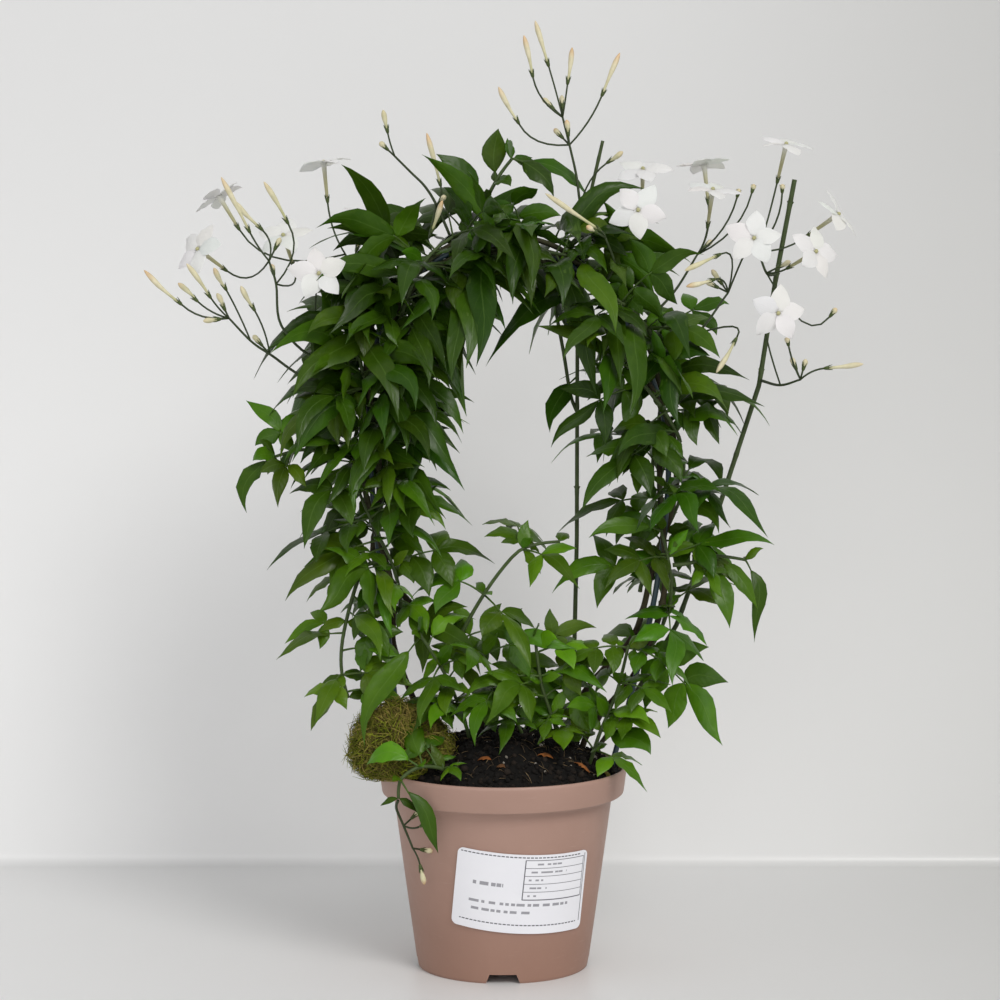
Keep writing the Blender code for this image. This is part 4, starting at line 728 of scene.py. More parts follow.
def add_leaflet(shape, foot, bend, tip, side, face, width, settings, tints, rng):
    """One leaflet with a short stalk, a soft fold along its midrib and a wavy edge."""
    reach = (tip - foot).length
    stations = LEAF_STATIONS if reach > SHORT_REACH else SMALL_STATIONS
    long = eased(SHORT_REACH, LONG_REACH, reach)
    high = eased(SHADY_HEIGHT - 0.12, SHADY_HEIGHT, foot.z)
    slim = settings.slim * long * (0.5 + 0.5 * max(high, eased(*SLIM_REACH, reach)))
    hanging = foot.z < HANGING_HEIGHT
    girth = LEAFLET_GIRTH - slim - HANGING_SLIM * hanging
    half = leaflet_half(width / 2 * girth, LEAFLET_FULLNESS * rng.uniform(0.9, 1.15),
                        BLUNT + (POINTED - BLUNT) * long)
    keel = settings.fold * rng.uniform(0.3, 1.6)
    bow = LEAFLET_BOW[0] + LEAFLET_BOW[1] * long
    rise = level(UP, (tip - foot).normalized()) * reach * (LEAFLET_RISE[0] + LEAFLET_RISE[1] * long)
    bend = bend + side * reach * rng.uniform(-bow, bow) + rise
    blade = Blade(foot, bend, tip, side, face, half, stations, keel, keel * rng.uniform(0.4, 1.6),
                  settings.wave * rng.uniform(0.4, 1.5), settings.twist * rng.uniform(-1, 1),
                  reach * settings.swerve * rng.uniform(-1, 1), LEAF_THICKNESS * 0.55)
    light = (LEAFLET_LIGHT[0] + LEAFLET_LIGHT[1] * rng.random() ** 2) * (HANGING_SHADE if hanging else 1)
    tint = tuple(part * light * rng.uniform(0.95, 1.05) for part in tints[0])
    add_blade(shape, blade, tint, tints[1], rng.random() * 1000)


def add_leaf(shape, leaf, settings, rng, small_pair=True):
    """A compound leaf on the arch of its solid: a rib, pairs of leaflets and a longer last one."""
    length = (leaf.bend - leaf.root).length + (leaf.tip - leaf.bend).length
    tints = leaf_tint(settings, rng, leaf.root.z, length)
    places = PAIR_PLACES[leaf.pairs]
    base = PAIR_BASE / length
    last = places[-1] + base if places else LONE_LEAFLET_START
    shares = [k / RIB_STEPS for k in range(RIB_STEPS + 1)]
    rib = [bend_at(leaf.root, leaf.bend, leaf.tip, (last + 0.02) * share) for share in shares]
    rib_tints = [mixed(settings.stalk, tints[0], 0.5 * share) for share in shares]
    add_tube(shape, rib, [RIB_HALF * (0.9 - 0.35 * share) for share in shares], rib_tints, 1, 6)

    def pair(place, angle, share_of_reach):
        share = place + base / 2
        point = bend_at(leaf.root, leaf.bend, leaf.tip, share)
        along = (leaf.bend - leaf.root).lerp(leaf.tip - leaf.bend, share).normalized()
        side = level(leaf.side, along)
        reach = length * (LEAFLET_REACH[0] - LEAFLET_REACH[1] * place) * share_of_reach
        width = reach * LEAFLET_WIDTH * leaf.breadth
        for way in (1, -1):
            turn = math.radians(angle + rng.uniform(-7, 7) * (share_of_reach < 1))
            out = swung(along, side * way, turn).normalized()
            fall = (out - UP * LEAFLET_FALL).normalized()
            foot = point + side * way * RIB_HALF * 0.4
            middle = point + side * way * RIB_HALF + out * reach * LEAFLET_WIDEST
            tip = middle + fall * reach * (1 - LEAFLET_WIDEST)
            add_leaflet(shape, foot, middle, tip, level(along, out), -way, width, settings, tints, rng)

    for place, angle in zip(places, PAIR_ANGLES[leaf.pairs]):
        pair(place, angle, 1.0)
    if small_pair and leaf.pairs == 2:
        pair(places[0] * SMALL_PAIR[0], SMALL_PAIR[1], SMALL_PAIR[2])
    foot = bend_at(leaf.root, leaf.bend, leaf.tip, last)
    width = length * (1 - last) * LAST_LEAFLET_WIDTH * leaf.breadth
    bend = leaf.bend.lerp(leaf.tip, last)
    add_leaflet(shape, foot, bend, leaf.tip, leaf.side, 1, width, settings, tints, rng)


def add_sprouts(shape, shoot, leaves, settings, rng):
    """Young leaflets in pairs where the leaves leave the stem, and at its tip."""
    spots = [shoot.route.nearest(leaf.root) for leaf in leaves]
    spots.append(shoot.route.at(shoot.route.lengths[-1]))
    for spot, along in spots:
        count = rng.choice((1, 1, 2))
        first = rng.uniform(0, math.tau)
        around = level(BACK if abs(along.y) < 0.8 else UP, along)
        for k in range(count):
            turn = first + math.tau * k / count + rng.uniform(-0.4, 0.4)
            out = swung(around, along.cross(around), turn)
            heading = (out + along * rng.uniform(0.2, 0.9) + UP * 0.25).normalized()
            size = settings.sprout * rng.uniform(0.6, 1.15)
            foot = spot + out * SHOOT_RADIUS * 0.5
            bend = foot + heading * size * 0.5
            tip = bend + (heading - UP * rng.uniform(0.2, 1.0)).normalized() * size * 0.5
            tints = leaf_tint(settings, rng, spot.z, YOUNG_LEAF)
            side = level(LIGHT, heading).cross(heading)
            width = size * rng.uniform(0.34, 0.46)
            add_leaflet(shape, foot, bend, tip, side, 1, width, settings, tints, rng)


def in_clear_space(points):
    """True where a point, seen from the front, comes into the clear space inside the wreath."""
    (x, z), (reach_x, reach_z) = CLEAR_SPACE
    return any(math.hypot((p.x / MM - x) / reach_x, (p.z / MM - z) / reach_z) < 1 for p in points)


def add_fillers(shape, shoot, settings, rng):
    """Leaves on both hands between the large ones, kept inside the size of the solids."""
    room = Vector((1, 1, 1)) * FILLER_ROOM
    low, high = CAD_LOW + room, CAD_HIGH - room
    place = FILLER_START
    while place < shoot.route.lengths[-1]:
        spot, along = shoot.route.at(place)
        hub = HOOP.nearest(spot)[0]
        outward = level(spot - hub if (spot - hub).length < NEAR_HOOP else OPEN_SIDE, along)
        size = settings.filler / MM * (1 + settings.top_filler * eased(TOP_FROM + 20 * MM, TOP_TO, spot.z))
        x, z = spot.x / MM, spot.z / MM
        share = next((s for x_low, x_high, z_low, z_high, s in FILLER_ZONES
                      if x_low < x < x_high and z_low < z < z_high), FILLER_SHARE)
        for hand in FULL_HANDS if share == 1 else FILLER_HANDS:
            seed = f"{shoot.name} filler {place:.4f} {hand}"
            for attempt in range(FILLER_TRIES if rng.random() < share else 0):
                leaf = leaf_choice(seed, spot, along, outward, hand, size, attempt)
                inside = all(low[k] < leaf.tip[k] < high[k] for k in range(3))
                spots = [leaf.bend, leaf.bend.lerp(leaf.tip, 0.5), leaf.tip]
                if inside and leaf.tip.z > FILLER_LOW and not in_clear_space(spots):
                    drop = (leaf.tip - leaf.bend).length * settings.droop * eased(TOP_FROM, TOP_TO, spot.z)
                    tip = leaf.tip - UP * drop * rng.uniform(0.0, 1.0)
                    leaf = leaf._replace(pairs=rng.choice((0, 0, 1, 1)), tip=tip)
                    add_leaf(shape, leaf, settings, rng, False)
                    break
        place += settings.filler_spacing * rng.uniform(0.8, 1.2)


# --- sprays and blooms ---

# Share of the length and radius in mm: a bud, and the tube of an open bloom.
BUD_PROFILE = [
    (0.0, 0.5), (0.12, 0.58), (0.3, 0.62), (0.45, 0.8), (0.58, 1.08), (0.7, 1.22), (0.8, 1.16),
    (0.89, 0.88), (0.96, 0.5), (1.0, 0.12),
]
BLOOM_TUBE = [(0.0, 0.6), (0.1, 0.75), (0.4, 0.85), (0.7, 1.0), (0.88, 1.25), (0.97, 1.6)]
BUD_SIDES = 10
BUD_FOLD = 0.10  # how deep the rolled petals show on a bud's head
CALYX_CUP = [(-0.05, 0.45), (0.2, 0.72), (0.55, 0.88), (0.85, 0.92)]
TOOTH_RADII = [0.26 * MM, 0.18 * MM, 0.05 * MM]
STALK_RADII = (0.68, 0.2)  # of a spray's main stalk in mm at its foot, and how much it loses
TWIG_RADIUS = 0.42 * MM
PETAL_STATIONS = [0.0, 0.08, 0.2, 0.34, 0.48, 0.62, 0.75, 0.86, 0.94, 0.98, 1.0]
PETAL_THICKNESS = 0.3 * MM
PETAL_NECK = 0.44  # a petal's half width at its foot, as a share of its broadest
PETAL_ARCH = 1.6 * MM


def arc_points(start, turn, end, steps):
    """Points along an arch."""
    return [bend_at(start, turn, end, k / steps) for k in range(steps + 1)]


def add_calyx(shape, base, heading, settings):
    """A small green cup with five fine teeth, open at the top."""
    side, other = square_to(heading)
    cup = [base + heading * CALYX_LENGTH * share for share, _ in CALYX_CUP]
    add_tube(shape, cup, [radius * MM for _, radius in CALYX_CUP], settings.calyx, 0, 8)
    for angle in turns_of(LOBES):
        out = swung(side, other, angle)
        foot = base + heading * CALYX_LENGTH * 0.75 + out * 0.74 * MM
        tip = foot + heading * 1.9 * MM + out * 0.5 * MM
        add_tube(shape, [foot, foot.lerp(tip, 0.5), tip], TOOTH_RADII, settings.calyx, 0, 4)


def add_bud(shape, base, tip, settings, rng):
    """A slender closed flower: a thin tube that swells into a pointed head of rolled petals."""
    side, other = square_to((tip - base).normalized())
    bow = (side * rng.uniform(-1, 1) + other * rng.uniform(-1, 1)) * (tip - base).length * 0.03
    young = rng.random()
    foot_tint = mixed(settings.bud, settings.bud_green, rng.uniform(0.3, 0.7))
    head_tint = mixed(settings.bud, settings.bud_green, 0.25 * young)
    tip_tint = mixed(head_tint, settings.bud_tip, rng.choice((0.15, 0.3, 0.5, 0.8)))
    rings, places, tints = [], [], []
    for share, radius in BUD_PROFILE:
        middle = base.lerp(tip, share) + bow * math.sin(math.pi * share)
        ring = []
        for angle in turns_of(BUD_SIDES):
            fold = 1 + BUD_FOLD * eased(0.35, 0.6, share) * math.cos(LOBES * (angle - 1.4 * share))
            ring.append(middle + swung(side, other, angle) * radius * MM * fold)
        rings.append(ring)
        places.append([(k / BUD_SIDES, share, young) for k in range(BUD_SIDES)])
        tint = mixed(foot_tint, head_tint, eased(0.1, 0.6, share))
        tints.append(mixed(tint, tip_tint, eased(0.66, 1.0, share)))
    shape.loft(rings, tints, places)


def add_twig(shape, fork, calyx, heading, steps, overlap, settings):
    """A twig that curves from its fork into a calyx."""
    turn = calyx - heading * (calyx - fork).length * 0.5
    twig = arc_points(fork, turn, calyx + heading * overlap, steps)
    add_tube(shape, twig, [TWIG_RADIUS] * len(twig), settings.twig, 0, 6)
    add_calyx(shape, calyx, heading, settings)


def add_spray(shape, spray, hosts, settings, rng):
    """The main stalk, its twigs with their calyxes and buds, and a few young buds at the forks."""
    stem = [vector(p) for p in spray.stem]
    stem[0] = seat(stem[1], hosts)
    points = smooth(stem, 6)
    last = len(points) - 1
    thick, loss = STALK_RADII
    add_tube(shape, points, [(thick - loss * k / last) * MM for k in range(last + 1)], settings.twig, 0, 7)
    for fork, calyx, tip in spray.buds:
        foot, end = vector(calyx), vector(tip)
        add_twig(shape, stem[fork], foot, (end - foot).normalized(), 6, 0.0, settings)
        add_bud(shape, foot, end, settings, rng)
    for fork, name in spray.blooms:
        bloom = BLOOMS[name]
        heading = Vector(bloom.facing).normalized()
        start = vector(bloom.middle) - heading * (FLOWER_TUBE + CALYX_LENGTH)
        add_twig(shape, stem[fork], start, heading, 7, 0.4 * MM, settings)
    for fork, calyx, tip in spray.buds:
        if rng.random() < settings.young_buds:
            add_young_bud(shape, stem[fork], vector(calyx), settings, rng)


def add_young_bud(shape, fork, toward, settings, rng):
    """A short green bud on its own twig, beside a longer one."""
    along = (toward - fork).normalized()
    side, other = square_to(along)
    out = (side * rng.uniform(-1, 1) + other * rng.uniform(-1, 1)).normalized()
    heading = (along * 0.7 + out * 0.7 + UP * 0.3).normalized()
    calyx = fork + heading * rng.uniform(3.5, 6) * MM
    add_tube(shape, [fork, fork.lerp(calyx, 0.5), calyx], [0.45 * MM] * 3, settings.twig, 0, 5)
    add_calyx(shape, calyx, heading, settings)
    add_bud(shape, calyx, calyx + heading * rng.uniform(5, 9) * MM, settings, rng)


def add_bloom(shape, name, bloom, settings):
    """Five broad lobes round the mouth of a slim tube, with the draws of the bloom's solid."""
    heading = Vector(bloom.facing).normalized()
    side, other = square_to(heading)
    middle = vector(bloom.middle)
    tilt = random.Random(name)
    spin = tilt.uniform(0, math.tau)
    base = middle - heading * FLOWER_TUBE
    rng = random.Random(f"{name} finish")
    tube = [base.lerp(middle, share) for share, _ in BLOOM_TUBE]
    tints = [mixed(settings.tube, settings.petal, eased(0.5, 1.0, share)) for share, _ in BLOOM_TUBE]
    add_tube(shape, tube, [radius * MM for _, radius in BLOOM_TUBE], tints, 0, 10)
    mouth = [middle + heading * rise * MM for rise in (-1, 0.5, 0.8)]
    add_tube(shape, mouth, [0.9 * MM, 0.8 * MM, 0.3 * MM], settings.throat, 0, 8)
    for k in range(LOBES):
        angle = spin + math.tau / LOBES * k
        reach = LOBE_REACH * tilt.uniform(0.92, 1.05)
        rise = tilt.uniform(-0.8, 0.6) * MM
        out = swung(side, other, angle)
        foot = middle + out * 0.9 * MM - heading * (0.3 + 0.04 * k) * MM
        tip = middle + out * reach + heading * (rise * 2 - LOBE_DROOP)
        across = heading.cross(out)
        bend = foot.lerp(tip, 0.5) + heading * (PETAL_ARCH + rise) + across * rng.uniform(-0.8, 0.8) * MM
        across = swung(across, heading, rng.uniform(-0.22, 0.22))
        half = petal_half(LOBE_WIDTH * settings.breadth * rng.uniform(0.94, 1.06) / 2)
        blade = Blade(foot, bend, tip, across, 1, half, PETAL_STATIONS, rng.uniform(0.02, 0.14),
                      rng.uniform(0.05, 0.25), 0.06, rng.uniform(-0.4, 0.4), 0.0, PETAL_THICKNESS)
        tint = tuple(part * rng.uniform(0.97, 1.0) for part in settings.petal)
        add_blade(shape, blade, tint, mixed(tint, settings.petal_back, 0.5), rng.random() * 1000)


def petal_half(half_width):
    """A half width for each share of a petal: broad foot, broader middle, blunt point."""
    def half(share):
        body = math.sin(math.pi * share ** 0.8) ** 0.8 if 0 < share < 1 else 0.0
        neck = PETAL_NECK * (1 - share)
        return max(half_width * max(body, neck), 0.12 * MM)
    return half


# --- pot, label, compost and moss ---

POT_SIDES = 144
BAND_HEIGHT = 78 * MM
POT_TOP = 90 * MM
RIM_RADIUS = 55 * MM
WALL_TOP_RADIUS = 48.5 * MM
FOOT_RADIUS = 38 * MM
NOTCH_FOOT = 15 * MM  # a water notch's width at the foot and at its top
NOTCH_TOP = 11.7 * MM
NOTCH_HEIGHT = 4.2 * MM
SOIL_HEIGHT = 86.5 * MM
SOIL_RISE = 19 * MM
SOIL_EDGE = 52.4 * MM
LABEL_WIDTH = 61 * MM
LABEL_HEIGHT = 36 * MM
LABEL_THICKNESS = 0.4 * MM
LABEL_MIDDLE_HEIGHT = 41 * MM
LABEL_ANGLE = math.radians(12)
LABEL_TILT = math.radians(-4.3)
LABEL_CORNER = 2.5 * MM
LABEL_COLUMNS = 36

# Compost: outline as radius and height in mm, below the dome; the crumbs, fibres and scraps on it.
COMPOST_SIDES = 120
COMPOST_PROFILE = [(0.3, 6.6), (36.4, 6.6), (46.2, 77.6), (50.4, 79.7), (51.4, 81.0)]
DOME_RINGS = 40
CRUMB_SIZES = (0.4, 0.5, 0.6, 0.8, 1.1, 1.6)
PALE_GRAINS = 0.015  # share of the crumbs
LUMP_RINGS = ((-0.8, 0.45), (-0.3, 0.95), (0.35, 0.9), (0.8, 0.4))  # rise and girth
LUMP_SIDES = 6
FIBRE_RADIUS = 0.12 * MM

# Dry scraps on the compost: x and y in mm, how far they reach in x, and their colour.
DRY_BITS = [
    (-11, -33, 6, (0.30, 0.10, 0.025)), (15, -27, 7, (0.34, 0.12, 0.03)),
    (31, -26, 7, (0.36, 0.13, 0.035)), (43, -20, 5, (0.34, 0.27, 0.07)),
    (-3, -38, 4, (0.22, 0.10, 0.04)),
]

# Moss: the clump's middle and half size, the rows and points of its core, and its strands.
MOSS_MIDDLE = vector((-45, -20, 101))
MOSS_SIZE = vector((23, 15.5, 21))
MOSS_ROWS, MOSS_SIDES = 17, 28
MOSS_CORE = 0.86  # of the clump's size
STRAND_FOOT = 0.80
STRAND_TIPS = (0.98, 1.02, 1.06, 1.14)
STRAND_RADII = [0.20 * MM, 0.22 * MM, 0.16 * MM, 0.05 * MM]
RIM_ROOM = 3.4 * MM  # the rim's breadth with room for the moss that hangs over it

# The pot's outline as radius and height in mm, from the middle of its floor round to the same.
POT_PROFILE = [
    (0.0, 6.0), (36.6, 6.0), (37.4, 6.6), (46.9, 76.0), (47.3, 78.0), (47.9, 79.0), (51.0, 79.1),
    (51.7, 79.6), (52.1, 81.0), (53.3, 88.7), (53.6, 89.6), (54.1, 90.0), (54.6, 89.8), (54.95, 89.2),
    (55.0, 88.4), (54.8, 86.6), (53.85, 79.4), (53.6, 78.5), (53.1, 78.05), (50.2, 78.0), (49.3, 77.6),
    (48.6, 76.6), (48.3, 75.0), (43.6, 40.0), (38.25, 1.6), (38.0, 0.6), (37.5, 0.0), (36.2, 0.0),
    (35.7, 0.5), (35.6, 4.8), (0.0, 4.8),
]


def circle(radius, height, sides):
    """Points round the vertical axis, from millimetres."""
    return [vector((radius * math.cos(t), radius * math.sin(t), height)) for t in turns_of(sides)]


def turned_mesh(name, profile, sides):
    """A closed body turned round the vertical axis; both ends of the outline are on the axis."""
    points, faces = [vector((0, 0, profile[0][1]))], []
    for radius, height in profile[1:-1]:
        points += circle(radius, height, sides)
    points.append(vector((0, 0, profile[-1][1])))
    last = len(points) - 1
    for k in range(sides):
        after = (k + 1) % sides
        faces.append((0, 1 + k, 1 + after))
        for low in range(1, last - sides, sides):
            faces.append((low + k, low + sides + k, low + sides + after, low + after))
        faces.append((last - sides + k, last, last - sides + after))
    return new_mesh(name, points, faces)


def coated(name, mesh, made):
    """A new object in the scene with one material."""
    mesh.materials.append(made)
    return placed(name, mesh)


def cut_notches(pot, count):
    """Cut the water notches through the foot ring and apply the cuts."""
    cutters = []
    foot, top = NOTCH_FOOT / 2, NOTCH_TOP / 2
    outline = [(-foot, -MM), (foot, -MM), (foot, 0), (top, NOTCH_HEIGHT), (-top, NOTCH_HEIGHT), (-foot, 0)]
    size = len(outline)
    for k in range(count // 2):
        points = [Vector((way * 2 * FOOT_RADIUS, y, z)) for way in (-1, 1) for y, z in outline]
        faces = [tuple(range(size - 1, -1, -1)), tuple(range(size, 2 * size))]
        faces += [(j, (j + 1) % size, size + (j + 1) % size, size + j) for j in range(size)]
        cutter = placed("notch", new_mesh("notch", points, faces))
        cutter.rotation_euler.z = math.pi / 2 * k
        cutters.append(cutter)
        cut = pot.modifiers.new("notch", "BOOLEAN")
        cut.operation = "DIFFERENCE"
        cut.object = cutter
        cut.solver = "EXACT"
    bpy.context.view_layer.update()
    cut_pot = pot.evaluated_get(bpy.context.evaluated_depsgraph_get())
    mesh = bpy.data.meshes.new_from_object(cut_pot)
    pot.modifiers.clear()
    pot.data = mesh
    for cutter in cutters:
        bpy.data.objects.remove(cutter, do_unlink=True)


def wall_radius(height):
    """The wall's outer radius at a height below the rim."""
    return FOOT_RADIUS + (WALL_TOP_RADIUS - FOOT_RADIUS) * height / BAND_HEIGHT


def label_spot(x, y, lift):
    """A point of the label, rolled on the cone of the wall, at a distance off it."""
    slope = (WALL_TOP_RADIUS - FOOT_RADIUS) / BAND_HEIGHT
    lean = math.atan(slope)
    across = x * math.cos(LABEL_TILT) - y * math.sin(LABEL_TILT)
    along = x * math.sin(LABEL_TILT) + y * math.cos(LABEL_TILT)
    along += wall_radius(LABEL_MIDDLE_HEIGHT) / math.sin(lean)
    height = math.hypot(across, along) * math.cos(lean) - FOOT_RADIUS / slope
    angle = LABEL_ANGLE + math.atan2(across, along) / math.sin(lean)
    outward = Vector((math.sin(angle), -math.cos(angle), 0))
    return outward * (wall_radius(height) + lift) + UP * height


def make_label(settings):
    """A thin sticker with rounded corners."""
    shape = Shape()
    half_width, half_height = LABEL_WIDTH / 2, LABEL_HEIGHT / 2
    straight = half_height - LABEL_CORNER
    corner = [LABEL_CORNER * (1 - math.cos(math.pi / 2 * k / 6)) for k in range(7)]
    rows = [-half_height + c for c in corner]
    rows += [-straight + 2 * straight * k / 6 for k in range(1, 6)]
    rows += [half_height - c for c in corner[::-1]]
    rings, places = [], []
    for y in rows:
        depth = max(0.0, abs(y) - straight)
        reach = half_width - LABEL_CORNER + math.sqrt(max(LABEL_CORNER ** 2 - depth ** 2, 0.0))
        span = [-reach + 2 * reach * k / LABEL_COLUMNS for k in range(LABEL_COLUMNS + 1)]
        lifts = [settings.curl * MM * (abs(x) / half_width) ** 8 for x in span]
        front = [label_spot(x, y, 2 * GAP + lift + LABEL_THICKNESS) for x, lift in zip(span, lifts)]
        back = [label_spot(x, y, 2 * GAP) for x in span]
        rings.append(front + back[::-1])
        places.append([(x / MM, y / MM, 1.0) for x in span] + [(x / MM, y / MM, 0.0) for x in span[::-1]])
    shape.loft(rings, [settings.paper] * len(rings), places)
    return shape.object("label_sticker", [label_material(settings)])


def dome_height(x, y):
    """The smooth dome of the compost."""
    return SOIL_HEIGHT + SOIL_RISE * (1 - (x * x + y * y) / SOIL_EDGE ** 2)


def soil_height(x, y):
    """The compost's surface: the dome with the solid's slow bumps and finer ones on top."""
    slow = math.sin(310 * x + 1.3) * math.cos(270 * y - 0.4) + math.sin(640 * x - 510 * y) * 0.6
    fine = noise.fractal(Vector((x, y, 0)) * 272, 0.8, 2.1, 4)
    return dome_height(x, y) + (0.55 * slow + 1.2 * fine) * MM


def on_compost(x, y, lift=0.0):
    """A point on the compost, or a little above it."""
    return Vector((x, y, soil_height(x, y) + lift))


def scattered(rng, limit):
    """A place on the compost, drawn evenly out to a limit."""
    reach, turn = limit * math.sqrt(rng.random()), rng.uniform(0, math.tau)
    return reach * math.cos(turn), reach * math.sin(turn)


def add_mass(shape, tint):
    """The fill of the pot below its bumpy dome."""
    rings = [circle(radius, height, COMPOST_SIDES) for radius, height in COMPOST_PROFILE]
    for step in range(DOME_RINGS):
        radius = SOIL_EDGE * (1 - step / DOME_RINGS)
        rings.append([on_compost(radius * math.cos(t), radius * math.sin(t))
                      for t in turns_of(COMPOST_SIDES)])
    places = [(k / COMPOST_SIDES, 0.5, 0.0) for k in range(COMPOST_SIDES)]
    shape.loft(rings, [tint] * len(rings), [places] * len(rings))


def add_crumb(shape, settings, rng):
    """A crumb or a pale grain somewhere on the compost."""
    x, y = scattered(rng, SOIL_EDGE - 1.5 * MM)
    size = rng.choice(CRUMB_SIZES) * rng.uniform(0.7, 1.3) * MM
    tint = mixed(settings.dark, settings.light, rng.random() ** 2)
    if rng.random() < PALE_GRAINS:
        tint = settings.grain
    add_lump(shape, on_compost(x, y, size * 0.25), size, tint, rng)


def add_fibre(shape, settings, rng):
    """A thin fibre that arches over the compost, where it has room."""
    x, y = scattered(rng, SOIL_EDGE - 5 * MM)
    lean, long = rng.uniform(0, math.tau), rng.uniform(2.5, 8) * MM
    start = on_compost(x, y, 0.3 * MM)
    end = start + Vector((math.cos(lean), math.sin(lean), 0)) * long
    if end.xy.length > SOIL_EDGE - MM:
        return
    end = on_compost(end.x, end.y, 0.5 * MM)
    turn = start.lerp(end, 0.5) + vector((rng.uniform(-1, 1), rng.uniform(-1, 1), 1.2))
    tint = mixed(settings.light, settings.fibre, rng.random())
    add_tube(shape, arc_points(start, turn, end, 5), [FIBRE_RADIUS] * 6, tint, 0, 4)


def add_dry_bit(shape, x, y, reach, tint, dark):
    """A curled scrap of dead leaf on the compost."""
    foot, tip = vector((x, y, 0)), vector((x + reach, y - 2, 0))
    foot, tip = on_compost(foot.x, foot.y, 0.6 * MM), on_compost(tip.x, tip.y, 1.6 * MM)
    bend = foot.lerp(tip, 0.5) + vector((0, 2, 2.5))
    half = leaflet_half(1.7 * MM, 0.9, 0.2)
    blade = Blade(foot, bend, tip, BACK, 1, half, SMALL_STATIONS, 0.5, 0.8, 0.3, 1.2, 0.0, 0.5 * MM)
    add_blade(shape, blade, tint, mixed(tint, dark, 0.4), x)


def make_compost(settings):
    """A rough fill of the pot with crumbs, fibres and a few dry scraps on top."""
    rng = random.Random(31)
    shape = Shape()
    add_mass(shape, settings.dark)
    for _ in range(settings.crumbs):
        add_crumb(shape, settings, rng)
    for _ in range(settings.fibres):
        add_fibre(shape, settings, rng)
    for x, y, reach, tint in DRY_BITS:
        add_dry_bit(shape, x, y, reach, tint, settings.dark)
    made = tinted_material("compost_fine", 0.95, 420.0, (0.5, 0.5, 0.5), 0.4 * MM)
    return shape.object("compost_rough", [made])


def add_lump(shape, middle, size, tint, rng):
    """An uneven crumb."""
    tilt = Vector((rng.uniform(-1, 1), rng.uniform(-1, 1), rng.uniform(-1, 1))).normalized()
    side, other = square_to(tilt)
    rings = []
    for rise, girth in LUMP_RINGS:
        ring = []
        for turn in turns_of(LUMP_SIDES):
            out = swung(side, other, turn) * girth * rng.uniform(0.75, 1.15)
            ring.append(middle + (tilt * rise * 0.8 + out) * size)
        rings.append(ring)
    shape.loft(rings, [tint] * 4, [(0.5, 0.5, rng.random())] * 4)


def any_way(rng, lift=0.0):
    """A direction and reach drawn evenly all round, or a little more upward."""
    return Vector((rng.gauss(0, 1), rng.gauss(0, 1), rng.gauss(lift, 1)))


def add_strand(shape, settings, rng):
    """A fine strand that leaves the clump and curls back along it."""
    out = any_way(rng, 0.15).normalized()
    root = moss_point(out, STRAND_FOOT)
    if root.z < dome_height(root.x, root.y) - MM:
        return
    sway = level(any_way(rng), out)
    long = settings.strand * rng.uniform(0.4, 1.3)
    turn = root + (out * 0.7 + sway * rng.uniform(0.1, 0.8)).normalized() * long * 0.5
    curl = level(any_way(rng), out)
    tip = turn + (curl + out * rng.uniform(-0.4, 0.5)).normalized() * long * 0.6
    surface = moss_point((tip - MOSS_MIDDLE).normalized(), rng.choice(STRAND_TIPS))
    if (tip - MOSS_MIDDLE).length > (surface - MOSS_MIDDLE).length:
        tip = surface
    dryness = 0.35 + 1.1 * noise.noise(out * 3.1)
    fresh = mixed(settings.dark, settings.bright, rng.random())
    tint = mixed(fresh, settings.dry, min(max(dryness + rng.uniform(-0.5, 0.3), 0.0), 1.0))
    add_tube(shape, arc_points(root, turn, tip, 3), STRAND_RADII, tint, 0, 3)


def make_moss(settings):
    """A clump with a coat of fine tangled strands."""
    rng = random.Random(7)
    shape = Shape()
    rings = []
    for k in range(MOSS_ROWS):
        rise = math.pi * (k + 0.5) / MOSS_ROWS - math.pi / 2
        ring = []
        for turn in turns_of(MOSS_SIDES):
            out = (math.cos(turn) * math.cos(rise), math.sin(turn) * math.cos(rise), math.sin(rise))
            ring.append(moss_point(Vector(out), MOSS_CORE))
        rings.append(ring)
    core = mixed(settings.dark, settings.dry, 0.25)
    shape.loft(rings, [core] * MOSS_ROWS, [(0.5, 0.5, 0.0)] * MOSS_ROWS)
    for _ in range(settings.strands):
        add_strand(shape, settings, rng)
    made = tinted_material("moss_fine", 0.9, 300.0, (0.6, 0.6, 0.55), 0.3 * MM)
    return shape.object("moss_clump", [made])


def moss_point(out, share):
    """A point of the clump's bumpy surface in a direction, kept off the compost and the rim."""
    rough = 1 + 0.11 * noise.noise(out * 2.3) + 0.05 * noise.noise(out * 6.0 + Vector((3, 1, 2)))
    size = min(rough, 1.06) * share
    spot = MOSS_MIDDLE + out * MOSS_SIZE * size
    over_rim = spot.xy.length > RIM_RADIUS - RIM_ROOM
    floor = POT_TOP + 0.6 * MM if over_rim else dome_height(spot.x, spot.y) + MM
    return Vector((spot.x, spot.y, max(spot.z, floor)))


# --- wire, vines and bare stems ---

BARK_STEP = 1.6 * MM
VINE_NODES = (34 * MM, 0.28)  # how far apart a vine's nodes are, and how much thicker it is there
STEM_NODES = (38 * MM, 0.14)
NODE_LENGTH = 1.5 * MM


def make_hoop(settings):
    """The coated wire, smooth all the way round."""
    shape = Shape()
    points = Route(HOOP.points).even(3 * MM)
    add_tube(shape, points, [HOOP_RADIUS] * len(points), settings.colour, 0, 12)
    return shape.object("hoop_wire_smooth", [wire_material(settings)])


